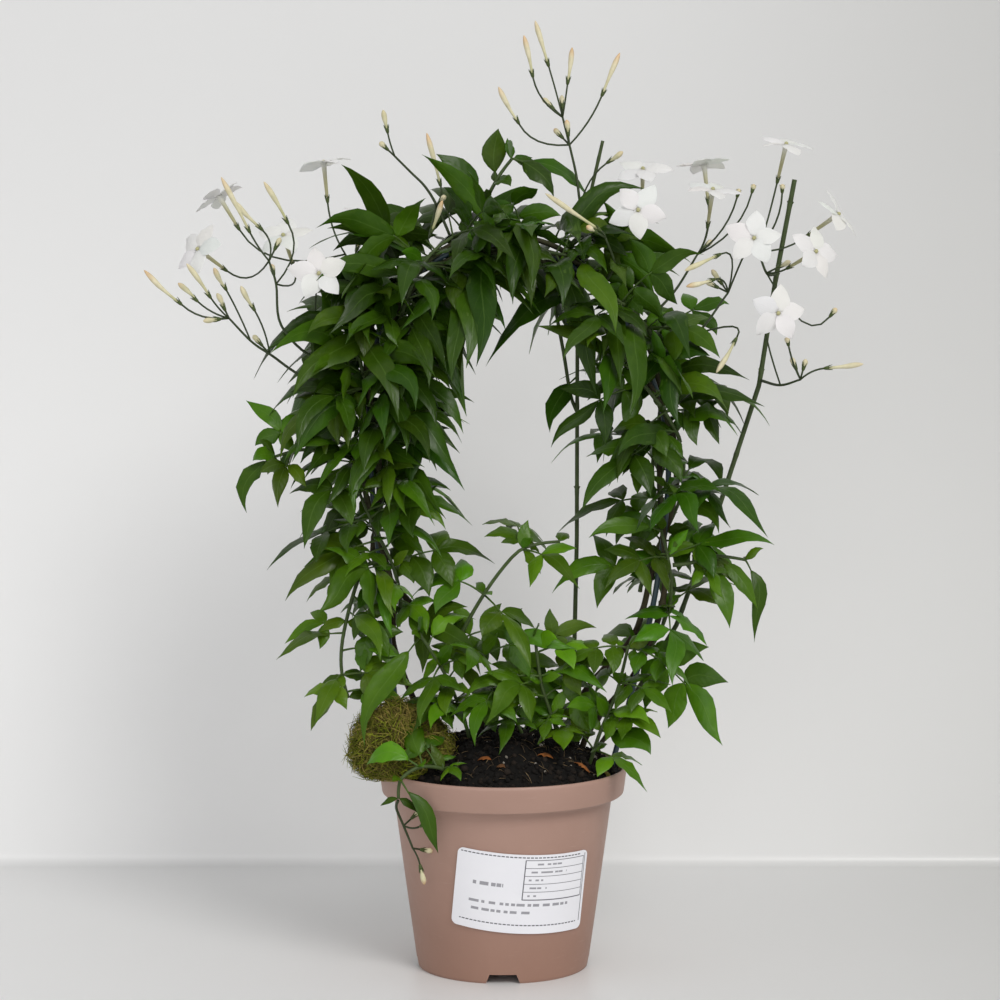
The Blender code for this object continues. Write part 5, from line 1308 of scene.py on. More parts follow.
def knotted(points, radius_from, radius_to, spacing, swell, rng):
    """A radius for each point of a stem that tapers and swells a little at its nodes."""
    radii, run, knot = [], 0.0, spacing * rng.uniform(0.3, 1.0)
    last = len(points) - 1
    for k, point in enumerate(points):
        if k:
            run += (point - points[k - 1]).length
        if run > knot + spacing / 2:
            knot += spacing * rng.uniform(0.85, 1.15)
        near = math.exp(-((run - knot) / NODE_LENGTH) ** 2)
        radii.append((radius_from + (radius_to - radius_from) * k / last) * (1 + swell * near))
    return radii


def make_vine(vine, settings):
    """A brown-green climbing stem with nodes, along the turns of its solid."""
    shape = Shape()
    points = Route(smooth(vine_route(vine).points, 6)).even(BARK_STEP)
    radii = knotted(points, *VINE_RADII, *VINE_NODES, random.Random(vine.name))
    tints = []
    for point in points:
        share = eased(-0.3, 0.4, noise.noise(point * 60))
        green = mixed(settings.green, settings.bark, 0.35 + 0.5 * share)
        tints.append(mixed(settings.bark, green, eased(0.10, 0.26, point.z)))
    add_tube(shape, points, radii, tints, 0, 10)
    made = tinted_material(f"{vine.name}_skin", 0.72, 260.0, (0.55, 0.55, 0.5), 0.35 * MM)
    return shape.object(f"{vine.name}_bark", [made])


def add_stem(shape, points, radius_from, radius_to, settings, seed, look):
    """A straight green stem with nodes and short leaf scars."""
    rng = random.Random(seed)
    spots = Route(points).even(BARK_STEP)
    radii = knotted(spots, radius_from, radius_to, *STEM_NODES, rng)
    shares = [0.25 + 0.75 * eased(0.08, 0.16, spot.z) for spot in spots]
    tints = [mixed(settings.bark, settings.green, share) for share in shares]
    add_tube(shape, spots, radii, tints, look, 9)
    swollen = (radius_from + radius_to) / 2 * (1 + 0.6 * STEM_NODES[1])
    for k in range(2, len(spots) - 2):
        if radii[k] > swollen and radii[k] >= max(radii[k - 1], radii[k + 1]):
            along = (spots[k + 1] - spots[k]).normalized()
            out = level(Vector((rng.uniform(-1, 1), -0.6, 0.1)), along)
            for way in (1, -1):
                start = spots[k] + out * way * radii[k] * 0.5
                end = start + (out * way + along * 1.4).normalized() * 1.7 * MM
                scar = [start, start.lerp(end, 0.6), end]
                add_tube(shape, scar, [0.5 * MM, 0.4 * MM, 0.28 * MM], tints[k], look, 6)


# --- looks ---

LEAF_SHADE = (0.74, 0.82, 0.6)
VEIN_COLOUR = (0.15, 0.27, 0.05)
RIB_SHOW, VEIN_SHOW = 0.22, 0.05
PETAL_VEIN = (0.66, 0.66, 0.60)
# Painted shade: the pot's colour is darkened toward its foot, up to the height below.
FOOT_PAINTED_SHADE = (0.82, 0.74, 0.68)  # of the pot's colour at its foot
FOOT_PAINTED_SHADE_TOP = 75 * MM
LEAF_SHINE, SKIN_SHINE = 0.24, 0.25
PETAL_SHEEN = 0.15

# The table and the wall carry painted shade: how far the right, the top and the table are darker, and
# where.
PAINTED_SHADE_RIGHT_SPAN = (0.0, 0.34)
PAINTED_SHADE_RISE_SPAN = (0.03, 0.5)
WALL_TOP_PAINTED_SHADE = (0.77,) * 3
TABLE_TOP = 6 * MM
TABLE_PAINTED_SHADE = (0.815,) * 3

# The label's print in mm: middle x and y, half width and half height of each dashed line, rule and bar.
LABEL_DASHED = [(-1.5, 16.7, 27.5, 0.2), (0, -14.2, 27, 0.2)]
LABEL_RULES = [
    (29, 1.2, 0.13, 15.5), (-0.8, 6.5, 0.17, 9.0), (13.7, -2.5, 14.5, 0.17), (13.7, 15.5, 14.5, 0.1),
    (28.2, 6.5, 0.1, 9.0), (13.7, 11.9, 14.5, 0.07), (13.7, 8.3, 14.5, 0.07), (13.7, 4.7, 14.5, 0.07),
    (13.7, 1.1, 14.5, 0.07),
]
LABEL_BARS = [
    (-16, 3.5, 6.5, 0.75), (9.5, 13.7, 6.5, 0.35), (10.5, 10.1, 8.5, 0.35), (4.5, 6.5, 3.2, 0.35),
    (5.5, 2.9, 4.2, 0.35), (3.8, -0.7, 2.4, 0.35), (-1.2, -4.9, 22.3, 0.55), (-10.2, -8.4, 13.3, 0.55),
]
INK_EDGE = 0.12
DASH_SHARE = 0.72  # of each stretch of a dashed line
BAR_SIZE = 0.42  # the higher, the shorter the pieces of a bar
BAR_GAPS = (0.41, 0.43)
BAR_STEP = 31.0  # sets the gaps of one row apart from the next
BAR_INK = 0.7


# --- materials ---

def feed(tree, socket, value):
    """Link a socket, or set its value."""
    if isinstance(value, bpy.types.NodeSocket):
        tree.links.new(value, socket)
    else:
        socket.default_value = value


def add_node(tree, kind, inputs=None, **fields):
    """A shader node with its fields set, and each input linked to a socket or given a value."""
    node = tree.nodes.new(kind)
    for field, value in fields.items():
        setattr(node, field, value)
    for name, value in (inputs or {}).items():
        feed(tree, node.inputs[name], value)
    return node


def reckon(tree, operation, *values):
    """The output of a Math node."""
    return add_node(tree, "ShaderNodeMath", dict(enumerate(values)), operation=operation).outputs[0]


def times(tree, a, b):
    """The product of two values."""
    return reckon(tree, "MULTIPLY", a, b)


def step_up(tree, value, low, high, ends=(0.0, 1.0)):
    """0 below low, 1 above high, and a soft step between."""
    inputs = {"Value": value, "From Min": low, "From Max": high, "To Min": ends[0], "To Max": ends[1]}
    return add_node(tree, "ShaderNodeMapRange", inputs, interpolation_type="SMOOTHSTEP").outputs[0]


def step_down(tree, value, low, high):
    """1 below low, 0 above high, and a soft step between."""
    return step_up(tree, value, low, high, (1.0, 0.0))


def blend(tree, share, a, b, mode="MIX"):
    """The colour output of a Mix node."""
    node = add_node(tree, "ShaderNodeMix", data_type="RGBA", blend_type=mode)
    feed(tree, node.inputs[0], share)
    for socket, colour in ((node.inputs[6], a), (node.inputs[7], b)):
        feed(tree, socket, colour if isinstance(colour, bpy.types.NodeSocket) else (*colour, 1.0))
    return node.outputs[2]


def spots_of(tree):
    """Object coordinates."""
    return add_node(tree, "ShaderNodeTexCoord").outputs["Object"]


def split(tree, spot):
    """The X, Y and Z outputs of a point."""
    return add_node(tree, "ShaderNodeSeparateXYZ", {"Vector": spot}).outputs


def noise_of(tree, spots, size, detail):
    """The value of a noise at the spots."""
    inputs = {"Vector": spots, "Scale": size, "Detail": detail}
    return add_node(tree, "ShaderNodeTexNoise", inputs).outputs[0]


def new_group(name, inputs, outputs):
    """An empty shader node group: inputs maps a name to its default, or to None for a point."""
    group = bpy.data.node_groups.new(name, "ShaderNodeTree")
    for label, default in inputs.items():
        kind = "NodeSocketVector" if default is None else "NodeSocketFloat"
        socket = group.interface.new_socket(label, in_out="INPUT", socket_type=kind)
        if default is not None:
            socket.default_value = default
    for label in outputs:
        group.interface.new_socket(label, in_out="OUTPUT", socket_type="NodeSocketFloat")
    source = group.nodes.new("NodeGroupInput")
    sink = group.nodes.new("NodeGroupOutput")
    return group, source.outputs, sink.inputs


def veins_group():
    """A midrib and slanting side veins over a blade's place."""
    sockets = {"Place": None, "Count": 7.0, "Slant": 1.4, "Rib Width": 0.08, "Vein Width": 0.1}
    group, given, result = new_group("blade_veins", sockets, ("Rib", "Veins", "Relief"))
    parts = split(group, given["Place"])
    across = reckon(group, "ABSOLUTE", parts["X"])
    rib = step_down(group, across, 0.0, given["Rib Width"])
    lean = times(group, across, given["Slant"])
    run = reckon(group, "SUBTRACT", times(group, parts["Y"], given["Count"]), lean)
    wave = reckon(group, "PINGPONG", run, 0.5)
    fade = step_down(group, across, 0.5, 1.0)
    veins = times(group, step_down(group, wave, 0.0, given["Vein Width"]), fade)
    relief = reckon(group, "SUBTRACT", wave, times(group, rib, 0.6))
    group.links.new(rib, result["Rib"])
    group.links.new(veins, result["Veins"])
    group.links.new(relief, result["Relief"])
    return group


def mottle_group():
    """Soft patches at two scales, for tone, gloss and a fine relief."""
    group, given, result = new_group("soft_mottle", {"Size": 200.0, "Detail": 3.0}, ("Patches", "Grain"))
    spots = spots_of(group)
    broad = noise_of(group, spots, given["Size"], given["Detail"])
    fine = noise_of(group, spots, times(group, given["Size"], 9.0), 2.0)
    group.links.new(step_up(group, broad, 0.3, 0.7), result["Patches"])
    group.links.new(fine, result["Grain"])
    return group


def once(name, maker):
    """A node group made the first time it is asked for."""
    return bpy.data.node_groups.get(name) or maker()


def fresh_material(name, colour, roughness):
    """A material with one Principled BSDF, and its tree and shader."""
    made = bpy.data.materials.new(name)
    made.use_nodes = True
    shader = made.node_tree.nodes["Principled BSDF"]
    shader.inputs["Base Color"].default_value = (*colour, 1.0)
    shader.inputs["Roughness"].default_value = roughness
    return made, made.node_tree, shader


def give_gloss(tree, shader, grain, roughness, spread):
    """A roughness that wanders a little with the grain."""
    gloss = reckon(tree, "ADD", times(tree, grain, spread), roughness - spread / 2)
    tree.links.new(gloss, shader.inputs["Roughness"])


def give_relief(tree, shader, height, distance, strength):
    """A fine bump."""
    bump = add_node(tree, "ShaderNodeBump", {"Height": height, "Distance": distance, "Strength": strength})
    tree.links.new(bump.outputs[0], shader.inputs["Normal"])


def dress(tree, shader, colour, grain, gloss, relief):
    """A colour, an uneven gloss (roughness, spread) and a fine relief (distance, strength)."""
    tree.links.new(colour, shader.inputs["Base Color"])
    give_gloss(tree, shader, grain, *gloss)
    give_relief(tree, shader, grain, *relief)


def mottled(tree, size, detail=3.0):
    """The patches and the grain of the mottle group."""
    node = add_node(tree, "ShaderNodeGroup", {"Size": size, "Detail": detail},
                    node_tree=once("soft_mottle", mottle_group))
    return node.outputs["Patches"], node.outputs["Grain"]


def veined(tree, **sizes):
    """The outputs of the vein group over a blade."""
    inputs = {"Place": place_of(tree), **{name.replace("_", " "): size for name, size in sizes.items()}}
    return add_node(tree, "ShaderNodeGroup", inputs, node_tree=once("blade_veins", veins_group)).outputs


def let_light_through(tree, shader, colour, share):
    """Mixes a translucent share into a thin blade's surface."""
    glow = add_node(tree, "ShaderNodeBsdfTranslucent", {"Color": colour})
    mix = add_node(tree, "ShaderNodeMixShader", {0: share, 1: shader.outputs[0], 2: glow.outputs[0]})
    tree.links.new(mix.outputs[0], tree.nodes["Material Output"].inputs["Surface"])


def tint_of(tree):
    """The tint that a shape carries."""
    return add_node(tree, "ShaderNodeAttribute", attribute_name="tint").outputs["Color"]


def place_of(tree):
    """The place that a shape carries."""
    return add_node(tree, "ShaderNodeAttribute", attribute_name="place").outputs["Vector"]


def leaf_material(settings):
    """Satin leaf: darker between pale veins, lit from behind."""
    made, tree, shader = fresh_material("leaf_blade", settings.dark, settings.roughness)
    veins = veined(tree)
    patches, grain = mottled(tree, 130.0)
    colour = blend(tree, patches, tint_of(tree), LEAF_SHADE, "MULTIPLY")
    share = reckon(tree, "ADD", times(tree, veins["Rib"], RIB_SHOW), times(tree, veins["Veins"], VEIN_SHOW))
    colour = blend(tree, share, colour, VEIN_COLOUR)
    tree.links.new(colour, shader.inputs["Base Color"])
    give_gloss(tree, shader, grain, settings.roughness, 0.14)
    height = reckon(tree, "ADD", veins["Relief"], times(tree, grain, 0.3))
    give_relief(tree, shader, height, 0.2 * MM, 0.35)
    shader.inputs["Specular IOR Level"].default_value = LEAF_SHINE
    let_light_through(tree, shader, colour, settings.glow)
    return made


def petal_material(settings):
    """Soft white petal with faint length-wise veins, lit from behind."""
    made, tree, shader = fresh_material("petal_blade", settings.petal, 0.55)
    veins = veined(tree, Count=2.0, Slant=5.0, Rib_Width=0.12)
    grain = mottled(tree, 240.0)[1]
    colour = blend(tree, times(tree, veins["Veins"], 0.08), tint_of(tree), PETAL_VEIN)
    tree.links.new(colour, shader.inputs["Base Color"])
    give_relief(tree, shader, reckon(tree, "ADD", veins["Relief"], grain), 0.2 * MM, 0.35)
    shader.inputs["Sheen Weight"].default_value = PETAL_SHEEN
    let_light_through(tree, shader, colour, settings.glow)
    return made


def tinted_material(name, roughness, size, shade, relief):
    """A plant skin that takes its tint from the shape, with soft patches and a fine relief."""
    made, tree, shader = fresh_material(name, (0.1, 0.1, 0.1), roughness)
    shader.inputs["Specular IOR Level"].default_value = SKIN_SHINE
    patches, grain = mottled(tree, size)
    colour = blend(tree, patches, tint_of(tree), shade, "MULTIPLY")
    dress(tree, shader, colour, grain, (roughness, 0.2), (relief, 0.6))
    return made


def plastic_material(settings):
    """Matt moulded plastic with faint scuffs and a fine grain, and painted shade that darkens it toward its
    foot.
    """
    made, tree, shader = fresh_material("pot_plastic_fine", settings.colour, settings.roughness)
    patches, grain = mottled(tree, 38.0, 5.0)
    lengthwise = add_node(tree, "ShaderNodeMapping", {"Vector": spots_of(tree), "Scale": (1.0, 1.0, 7.0)})
    scuffs = noise_of(tree, lengthwise.outputs[0], 120.0, 6.0)
    marks = times(tree, step_up(tree, scuffs, 0.62, 0.78), settings.scuffs)
    colour = blend(tree, times(tree, patches, 0.35), settings.colour, settings.shade)
    colour = blend(tree, marks, colour, settings.scuff_colour)
    # painted shade: darker toward the foot
    foot_painted_shade = step_down(tree, split(tree, spots_of(tree))["Z"], 0.0, FOOT_PAINTED_SHADE_TOP)
    colour = blend(tree, foot_painted_shade, colour, FOOT_PAINTED_SHADE, "MULTIPLY")
    dress(tree, shader, colour, grain, (settings.roughness, 0.16), (0.08 * MM, 0.35))
    return made


def ruled_box(tree, x, y, box):
    """A mask of a printed rectangle: box holds middle x, middle y, half width, half height in mm."""
    middle_x, middle_y, half_width, half_height = box
    aside = reckon(tree, "ABSOLUTE", reckon(tree, "SUBTRACT", x, middle_x))
    above = reckon(tree, "ABSOLUTE", reckon(tree, "SUBTRACT", y, middle_y))
    return times(tree, step_down(tree, aside, half_width, half_width + INK_EDGE),
                 step_down(tree, above, half_height, half_height + INK_EDGE))


def label_material(settings):
    """White sticker paper with a plain printed frame, a ruled box and rows of blank bars."""
    made, tree, shader = fresh_material("label_paper_fine", settings.paper, 0.5)
    parts = split(tree, place_of(tree))
    x, y, front = parts["X"], parts["Y"], parts["Z"]
    run = reckon(tree, "DIVIDE", reckon(tree, "PINGPONG", x, settings.dash), settings.dash)
    dashes = step_down(tree, run, DASH_SHARE, DASH_SHARE + 0.06)
    masks = [times(tree, ruled_box(tree, x, y, box), dashes) for box in LABEL_DASHED]
    masks += [ruled_box(tree, x, y, box) for box in LABEL_RULES]
    for row, box in enumerate(LABEL_BARS):
        place = reckon(tree, "ADD", x, BAR_STEP * row)
        pieces = add_node(tree, "ShaderNodeTexNoise", noise_dimensions="1D")
        for name, value in {"W": place, "Scale": BAR_SIZE, "Detail": 0.0}.items():
            feed(tree, pieces.inputs[name], value)
        words = step_up(tree, pieces.outputs[0], *BAR_GAPS)
        bar = times(tree, ruled_box(tree, x, y, box), words)
        masks.append(times(tree, bar, BAR_INK))
    ink = reduce(lambda a, b: reckon(tree, "MAXIMUM", a, b), masks)
    ink = times(tree, ink, front)
    patches, grain = mottled(tree, 60.0)
    paper = blend(tree, times(tree, patches, 0.3), settings.paper, settings.paper_shade)
    colour = blend(tree, ink, paper, settings.ink)
    dress(tree, shader, colour, grain, (0.47, 0.1), (0.03 * MM, 0.3))
    return made


def wire_material(settings):
    """Thin green-blue plastic over wire."""
    made, tree, shader = fresh_material("hoop_coating", settings.colour, 0.38)
    patches, grain = mottled(tree, 90.0)
    colour = blend(tree, times(tree, patches, 0.5), settings.colour, settings.worn)
    dress(tree, shader, colour, grain, (0.38, 0.2), (0.05 * MM, 0.4))
    return made


def floor_material(settings):
    """Plain pale table and wall with a soft gloss, and painted shade that darkens them toward the right and
    the top and darkens the table.
    """
    made, tree, shader = fresh_material("pale_floor", settings.floor, 0.34)
    parts = split(tree, spots_of(tree))
    # painted shade: from floor toward far_floor at the right
    colour = blend(tree, step_up(tree, parts["X"], *PAINTED_SHADE_RIGHT_SPAN), settings.floor, settings.far_floor)
    # painted shade toward the top of the wall
    colour = blend(tree, step_up(tree, parts["Z"], *PAINTED_SHADE_RISE_SPAN), colour, WALL_TOP_PAINTED_SHADE, "MULTIPLY")
    # painted shade over the table
    colour = blend(tree, step_down(tree, parts["Z"], 0.0, TABLE_TOP), colour, TABLE_PAINTED_SHADE, "MULTIPLY")
    tree.links.new(colour, shader.inputs["Base Color"])
    return made


# --- the stage ---

CAMERA_PLACE = (-0.0013, -1.38, 0.347)
CAMERA_DIP = 5.74
CAMERA_LENS = 36 * 3.143
TABLE_FRONT = -1.8
STAGE_HALF, STAGE_HEIGHT = 2.2, 2.4
STAGE_BEND = 6 * MM
LIGHT_SIZE = 1.6
LIGHT_TARGET = Vector((0, 0, 0.2))
KEY_PLACE, KEY_COLOUR = (1.25, -2.4, 2.5), (1.0, 0.985, 0.96)
FILL_PLACE, FILL_COLOUR = (-0.6, -2.7, 0.9), (0.97, 0.98, 1.0)


def make_stage(settings):
    """A plain pale table that meets a pale wall behind the plant."""
    depth, bend = settings.wall_distance, STAGE_BEND
    outline = [(TABLE_FRONT, 0.0), (depth - bend, 0.0)]
    for k in range(1, 9):
        turn = math.pi / 2 * k / 8
        outline.append((depth - bend + bend * math.sin(turn), bend * (1 - math.cos(turn))))
    outline.append((depth, STAGE_HEIGHT))
    points = [Vector((x, y, z)) for y, z in outline for x in (-STAGE_HALF, STAGE_HALF)]
    faces = [(2 * k, 2 * k + 1, 2 * k + 3, 2 * k + 2) for k in range(len(outline) - 1)]
    mesh = new_mesh("table_and_wall", points, faces)
    mesh.shade_smooth()
    mesh.set_sharp_from_angle(angle=math.radians(40))
    coated("table_and_wall", mesh, floor_material(settings))


def add_light(name, place, power, colour):
    """A round soft light that faces the plant."""
    light = bpy.data.lights.new(name, "AREA")
    light.shape = "DISK"
    light.size = LIGHT_SIZE
    light.energy = power
    light.color = colour
    lamp = placed(name, light)
    lamp.location = place
    lamp.rotation_euler = (LIGHT_TARGET - Vector(place)).to_track_quat("-Z", "Y").to_euler()


def make_world(settings):
    """The even light of a pale room."""
    world = bpy.data.worlds.new("soft_room")
    world.use_nodes = True
    back = world.node_tree.nodes["Background"]
    back.inputs["Color"].default_value = (*settings.room, 1.0)
    back.inputs["Strength"].default_value = settings.room_light
    bpy.context.scene.world = world


def make_camera():
    """A camera that looks slightly down on the plant."""
    camera = placed("camera", bpy.data.cameras.new("camera"))
    camera.data.sensor_width = 36.0
    camera.data.lens = CAMERA_LENS
    camera.location = CAMERA_PLACE
    camera.rotation_euler = (math.radians(90 - CAMERA_DIP), 0, 0)
    bpy.context.scene.camera = camera


# --- settings ---

def colour_setting(name, description, default):
    """A colour that the panel offers."""
    return bpy.props.FloatVectorProperty(name=name, description=description, default=default, size=3,
                                         subtype="COLOR", min=0.0, max=1.0)


def share_setting(name, description, default, low=0.0, high=1.0):
    """A share that the panel offers as a slider."""
    return bpy.props.FloatProperty(name=name, description=description, default=default, min=low, max=high,
                                   subtype="FACTOR")


def length_setting(name, description, default, low=0.0, high=0.1):
    """A length that the panel offers, in metres."""
    return bpy.props.FloatProperty(name=name, description=description, default=default, min=low, max=high,
                                   subtype="DISTANCE", unit="LENGTH", precision=4)


def count_setting(name, description, default, low=0, high=10000):
    """A whole number that the panel offers."""
    return bpy.props.IntProperty(name=name, description=description, default=default, min=low, max=high)


class JasminePot(bpy.types.PropertyGroup):
    """The nursery pot."""
    colour: colour_setting("Colour", "Plastic colour", (0.400, 0.248, 0.197))
    shade: colour_setting("Shade", "Colour of the soft patches", (0.345, 0.208, 0.163))
    scuff_colour: colour_setting("Scuff Colour", "Colour of the scuffs", (0.52, 0.37, 0.31))
    scuffs: share_setting("Scuffs", "How clearly the scuffs show", 0.22)
    roughness: share_setting("Roughness", "Roughness of the plastic", 0.5)
    notches: count_setting("Notches", "Water notches in the foot ring", 4, 2, 8)


class JasmineLabel(bpy.types.PropertyGroup):
    """The paper label."""
    paper: colour_setting("Paper", "Paper colour", (0.86, 0.86, 0.90))
    paper_shade: colour_setting("Paper Shade", "Colour of the soft patches", (0.78, 0.78, 0.83))
    ink: colour_setting("Ink", "Colour of the print", (0.10, 0.10, 0.12))
    dash: bpy.props.FloatProperty(name="Dash", description="Length of a dash in millimetres", default=0.9,
                                  min=0.3, max=4.0)
    curl: share_setting("Curl", "How far the side edges stand off the wall, in millimetres", 0.25)


class JasmineCompost(bpy.types.PropertyGroup):
    """The compost in the pot."""
    dark: colour_setting("Dark", "Colour of the wet mass", (0.007, 0.006, 0.005))
    light: colour_setting("Light", "Colour of the driest crumbs", (0.030, 0.021, 0.015))
    fibre: colour_setting("Fibre", "Colour of the palest fibres", (0.30, 0.21, 0.11))
    grain: colour_setting("Grain", "Colour of the pale grains", (0.42, 0.38, 0.32))
    crumbs: count_setting("Crumbs", "Crumbs on the surface", 2300)
    fibres: count_setting("Fibres", "Fibres on the surface", 260)


class JasmineMoss(bpy.types.PropertyGroup):
    """The clump of moss."""
    dark: colour_setting("Dark", "Colour deep in the clump", (0.020, 0.022, 0.002))
    bright: colour_setting("Bright", "Colour of the fresh strands", (0.33, 0.40, 0.02))
    dry: colour_setting("Dry", "Colour of the dry strands", (0.46, 0.35, 0.10))
    strands: count_setting("Strands", "Fine strands on the clump", 4200)
    strand: length_setting("Strand", "Length of a strand", 0.011, 0.002, 0.03)


class JasmineWire(bpy.types.PropertyGroup):
    """The wire hoop."""
    colour: colour_setting("Colour", "Coating colour", (0.020, 0.045, 0.058))
    worn: colour_setting("Worn", "Colour of the worn patches", (0.045, 0.075, 0.085))


class JasmineStem(bpy.types.PropertyGroup):
    """Vines and straight stems."""
    bark: colour_setting("Bark", "Colour of the old bark", (0.052, 0.036, 0.020))
    green: colour_setting("Green", "Colour of the young bark", (0.062, 0.090, 0.032))


class JasmineLeaf(bpy.types.PropertyGroup):
    """The leafy shoots."""
    dark: colour_setting("Dark", "Colour of the old leaves", (0.028, 0.070, 0.003))
    bright: colour_setting("Bright", "Colour of the young leaves", (0.094, 0.205, 0.006))
    underside: colour_setting("Underside", "Colour below the blades", (0.085, 0.145, 0.022))
    stalk: colour_setting("Stalk", "Colour of the leaf stalks", (0.070, 0.115, 0.030))
    roughness: share_setting("Roughness", "Roughness of the blades", 0.31)
    glow: share_setting("Glow", "Share of the light that shines through a blade", 0.16)
    fold: share_setting("Fold", "How far a blade folds along its midrib", 0.42)
    wave: share_setting("Wave", "How wavy the edges are", 0.13)
    slim: share_setting("Slim", "How much narrower the long blades near the top are", 0.36)
    swerve: share_setting("Swerve", "How far a blade swerves aside, as a share of its length", 0.05)
    twist: share_setting("Twist", "How far a blade twists from foot to tip, in radians", 0.7)
    droop: share_setting("Droop", "How far the small leaves near the top hang", 0.5)
    sprout: length_setting("Sprout", "Length of a young leaflet", 0.014, 0.005, 0.04)
    filler: length_setting("Filler", "Length of a small leaf between the large ones", 0.034, 0.01, 0.06)
    top_filler: share_setting("Top Filler", "How much longer the small leaves are near the top", 0.55)
    filler_spacing: length_setting("Filler Spacing", "Room between the small leaves", 0.009, 0.005, 0.1)


class JasmineSpray(bpy.types.PropertyGroup):
    """The flower sprays."""
    twig: colour_setting("Twig", "Colour of the twigs", (0.040, 0.058, 0.024))
    calyx: colour_setting("Calyx", "Colour of the calyxes", (0.070, 0.100, 0.030))
    bud: colour_setting("Bud", "Colour of the open-ready buds", (0.76, 0.70, 0.50))
    bud_green: colour_setting("Bud Green", "Colour of the young buds", (0.36, 0.40, 0.13))
    bud_tip: colour_setting("Bud Tip", "Colour of the blushed tips", (0.70, 0.43, 0.22))
    young_buds: share_setting("Young Buds", "Share of the forks with one more young bud", 0.7)


class JasmineBloom(bpy.types.PropertyGroup):
    """The open blooms."""
    petal: colour_setting("Petal", "Petal colour", (0.95, 0.95, 0.945))
    petal_back: colour_setting("Petal Back", "Colour behind the petals", (0.94, 0.93, 0.88))
    tube: colour_setting("Tube", "Colour at the tube's foot", (0.56, 0.54, 0.32))
    throat: colour_setting("Throat", "Colour in the mouth", (0.66, 0.64, 0.36))
    breadth: share_setting("Breadth", "Breadth of the petals", 1.12, 0.6, 1.6)
    glow: share_setting("Glow", "Share of the light that shines through a petal", 0.42)


class JasmineStage(bpy.types.PropertyGroup):
    """Floor, wall and light."""
    # The step from floor to far_floor toward the right is painted shade.
    floor: colour_setting("Floor", "Colour of the table and the wall at the left", (0.895, 0.895, 0.895))
    far_floor: colour_setting("Far Floor", "Colour of table and wall at the right", (0.665, 0.665, 0.655))
    room: colour_setting("Room", "Colour of the room's light", (1.0, 1.0, 1.0))
    room_light: share_setting("Room Light", "Strength of the room's light", 0.58, 0.0, 4.0)
    key: bpy.props.FloatProperty(name="Key", description="Power of the key light", default=60.0, min=0.0,
                                 subtype="POWER", unit="POWER")
    fill: bpy.props.FloatProperty(name="Fill", description="Power of the fill light", default=10.0, min=0.0,
                                  subtype="POWER", unit="POWER")
    wall_distance: length_setting("Wall Distance", "From the pot's middle to the wall", 0.203, 0.1, 3.0)


class JasmineSettings(bpy.types.PropertyGroup):
    """Everything that can be set."""
    pot: bpy.props.PointerProperty(type=JasminePot)
    label: bpy.props.PointerProperty(type=JasmineLabel)
    compost: bpy.props.PointerProperty(type=JasmineCompost)
    moss: bpy.props.PointerProperty(type=JasmineMoss)
    wire: bpy.props.PointerProperty(type=JasmineWire)
    stem: bpy.props.PointerProperty(type=JasmineStem)
    leaf: bpy.props.PointerProperty(type=JasmineLeaf)
    spray: bpy.props.PointerProperty(type=JasmineSpray)
    bloom: bpy.props.PointerProperty(type=JasmineBloom)
    stage: bpy.props.PointerProperty(type=JasmineStage)


# --- operators ---

class JASMINE_OT_pot(bpy.types.Operator):
    """Build the pot with its rolled rim and notched foot"""
    bl_idname = "jasmine.pot"
    bl_label = "Pot"

    def execute(self, context):
        settings = context.scene.jasmine.pot
        mesh = turned_mesh("pot_moulded", POT_PROFILE, POT_SIDES)
        pot = coated("pot_moulded", mesh, plastic_material(settings))
        cut_notches(pot, settings.notches)
        pot.data.shade_smooth()
        pot.data.set_sharp_from_angle(angle=math.radians(32))
        stand_for(pot, "pot")
        return {"FINISHED"}


class JASMINE_OT_label(bpy.types.Operator):
    """Build the paper label on the pot"""
    bl_idname = "jasmine.label"
    bl_label = "Label"

    def execute(self, context):
        label = make_label(context.scene.jasmine.label)
        label.data.set_sharp_from_angle(angle=math.radians(40))
        stand_for(label, "label")
        return {"FINISHED"}


class JASMINE_OT_compost(bpy.types.Operator):
    """Build the compost with its crumbs and fibres"""
    bl_idname = "jasmine.compost"
    bl_label = "Compost"

    def execute(self, context):
        stand_for(make_compost(context.scene.jasmine.compost), "soil")
        return {"FINISHED"}


class JASMINE_OT_moss(bpy.types.Operator):
    """Build the clump of moss"""
    bl_idname = "jasmine.moss"
    bl_label = "Moss"

    def execute(self, context):
        stand_for(make_moss(context.scene.jasmine.moss), "moss")
        return {"FINISHED"}


class JASMINE_OT_hoop(bpy.types.Operator):
    """Build the wire hoop"""
    bl_idname = "jasmine.hoop"
    bl_label = "Hoop"

    def execute(self, context):
        stand_for(make_hoop(context.scene.jasmine.wire), "hoop")
        return {"FINISHED"}


class JASMINE_OT_vines(bpy.types.Operator):
    """Build the vines that wind round the hoop"""
    bl_idname = "jasmine.vines"
    bl_label = "Vines"

    def execute(self, context):
        for vine in VINES:
            stand_for(make_vine(vine, context.scene.jasmine.stem), vine.name)
        return {"FINISHED"}


class JASMINE_OT_right_stem(bpy.types.Operator):
    """Build the bare stem that carries the right sprays"""
    bl_idname = "jasmine.right_stem"
    bl_label = "Right Stem"

    def execute(self, context):
        settings = context.scene.jasmine.stem
        shape = Shape()
        add_stem(shape, rooted(STEM_RIGHT).points, STEM_RADIUS, STEM_RADIUS, settings, "right", 0)
        made = tinted_material("right_stem_skin", 0.55, 260.0, (0.7, 0.7, 0.66), 0.2 * MM)
        stand_for(shape.object("stem_right_green", [made]), "stem_right")
        return {"FINISHED"}


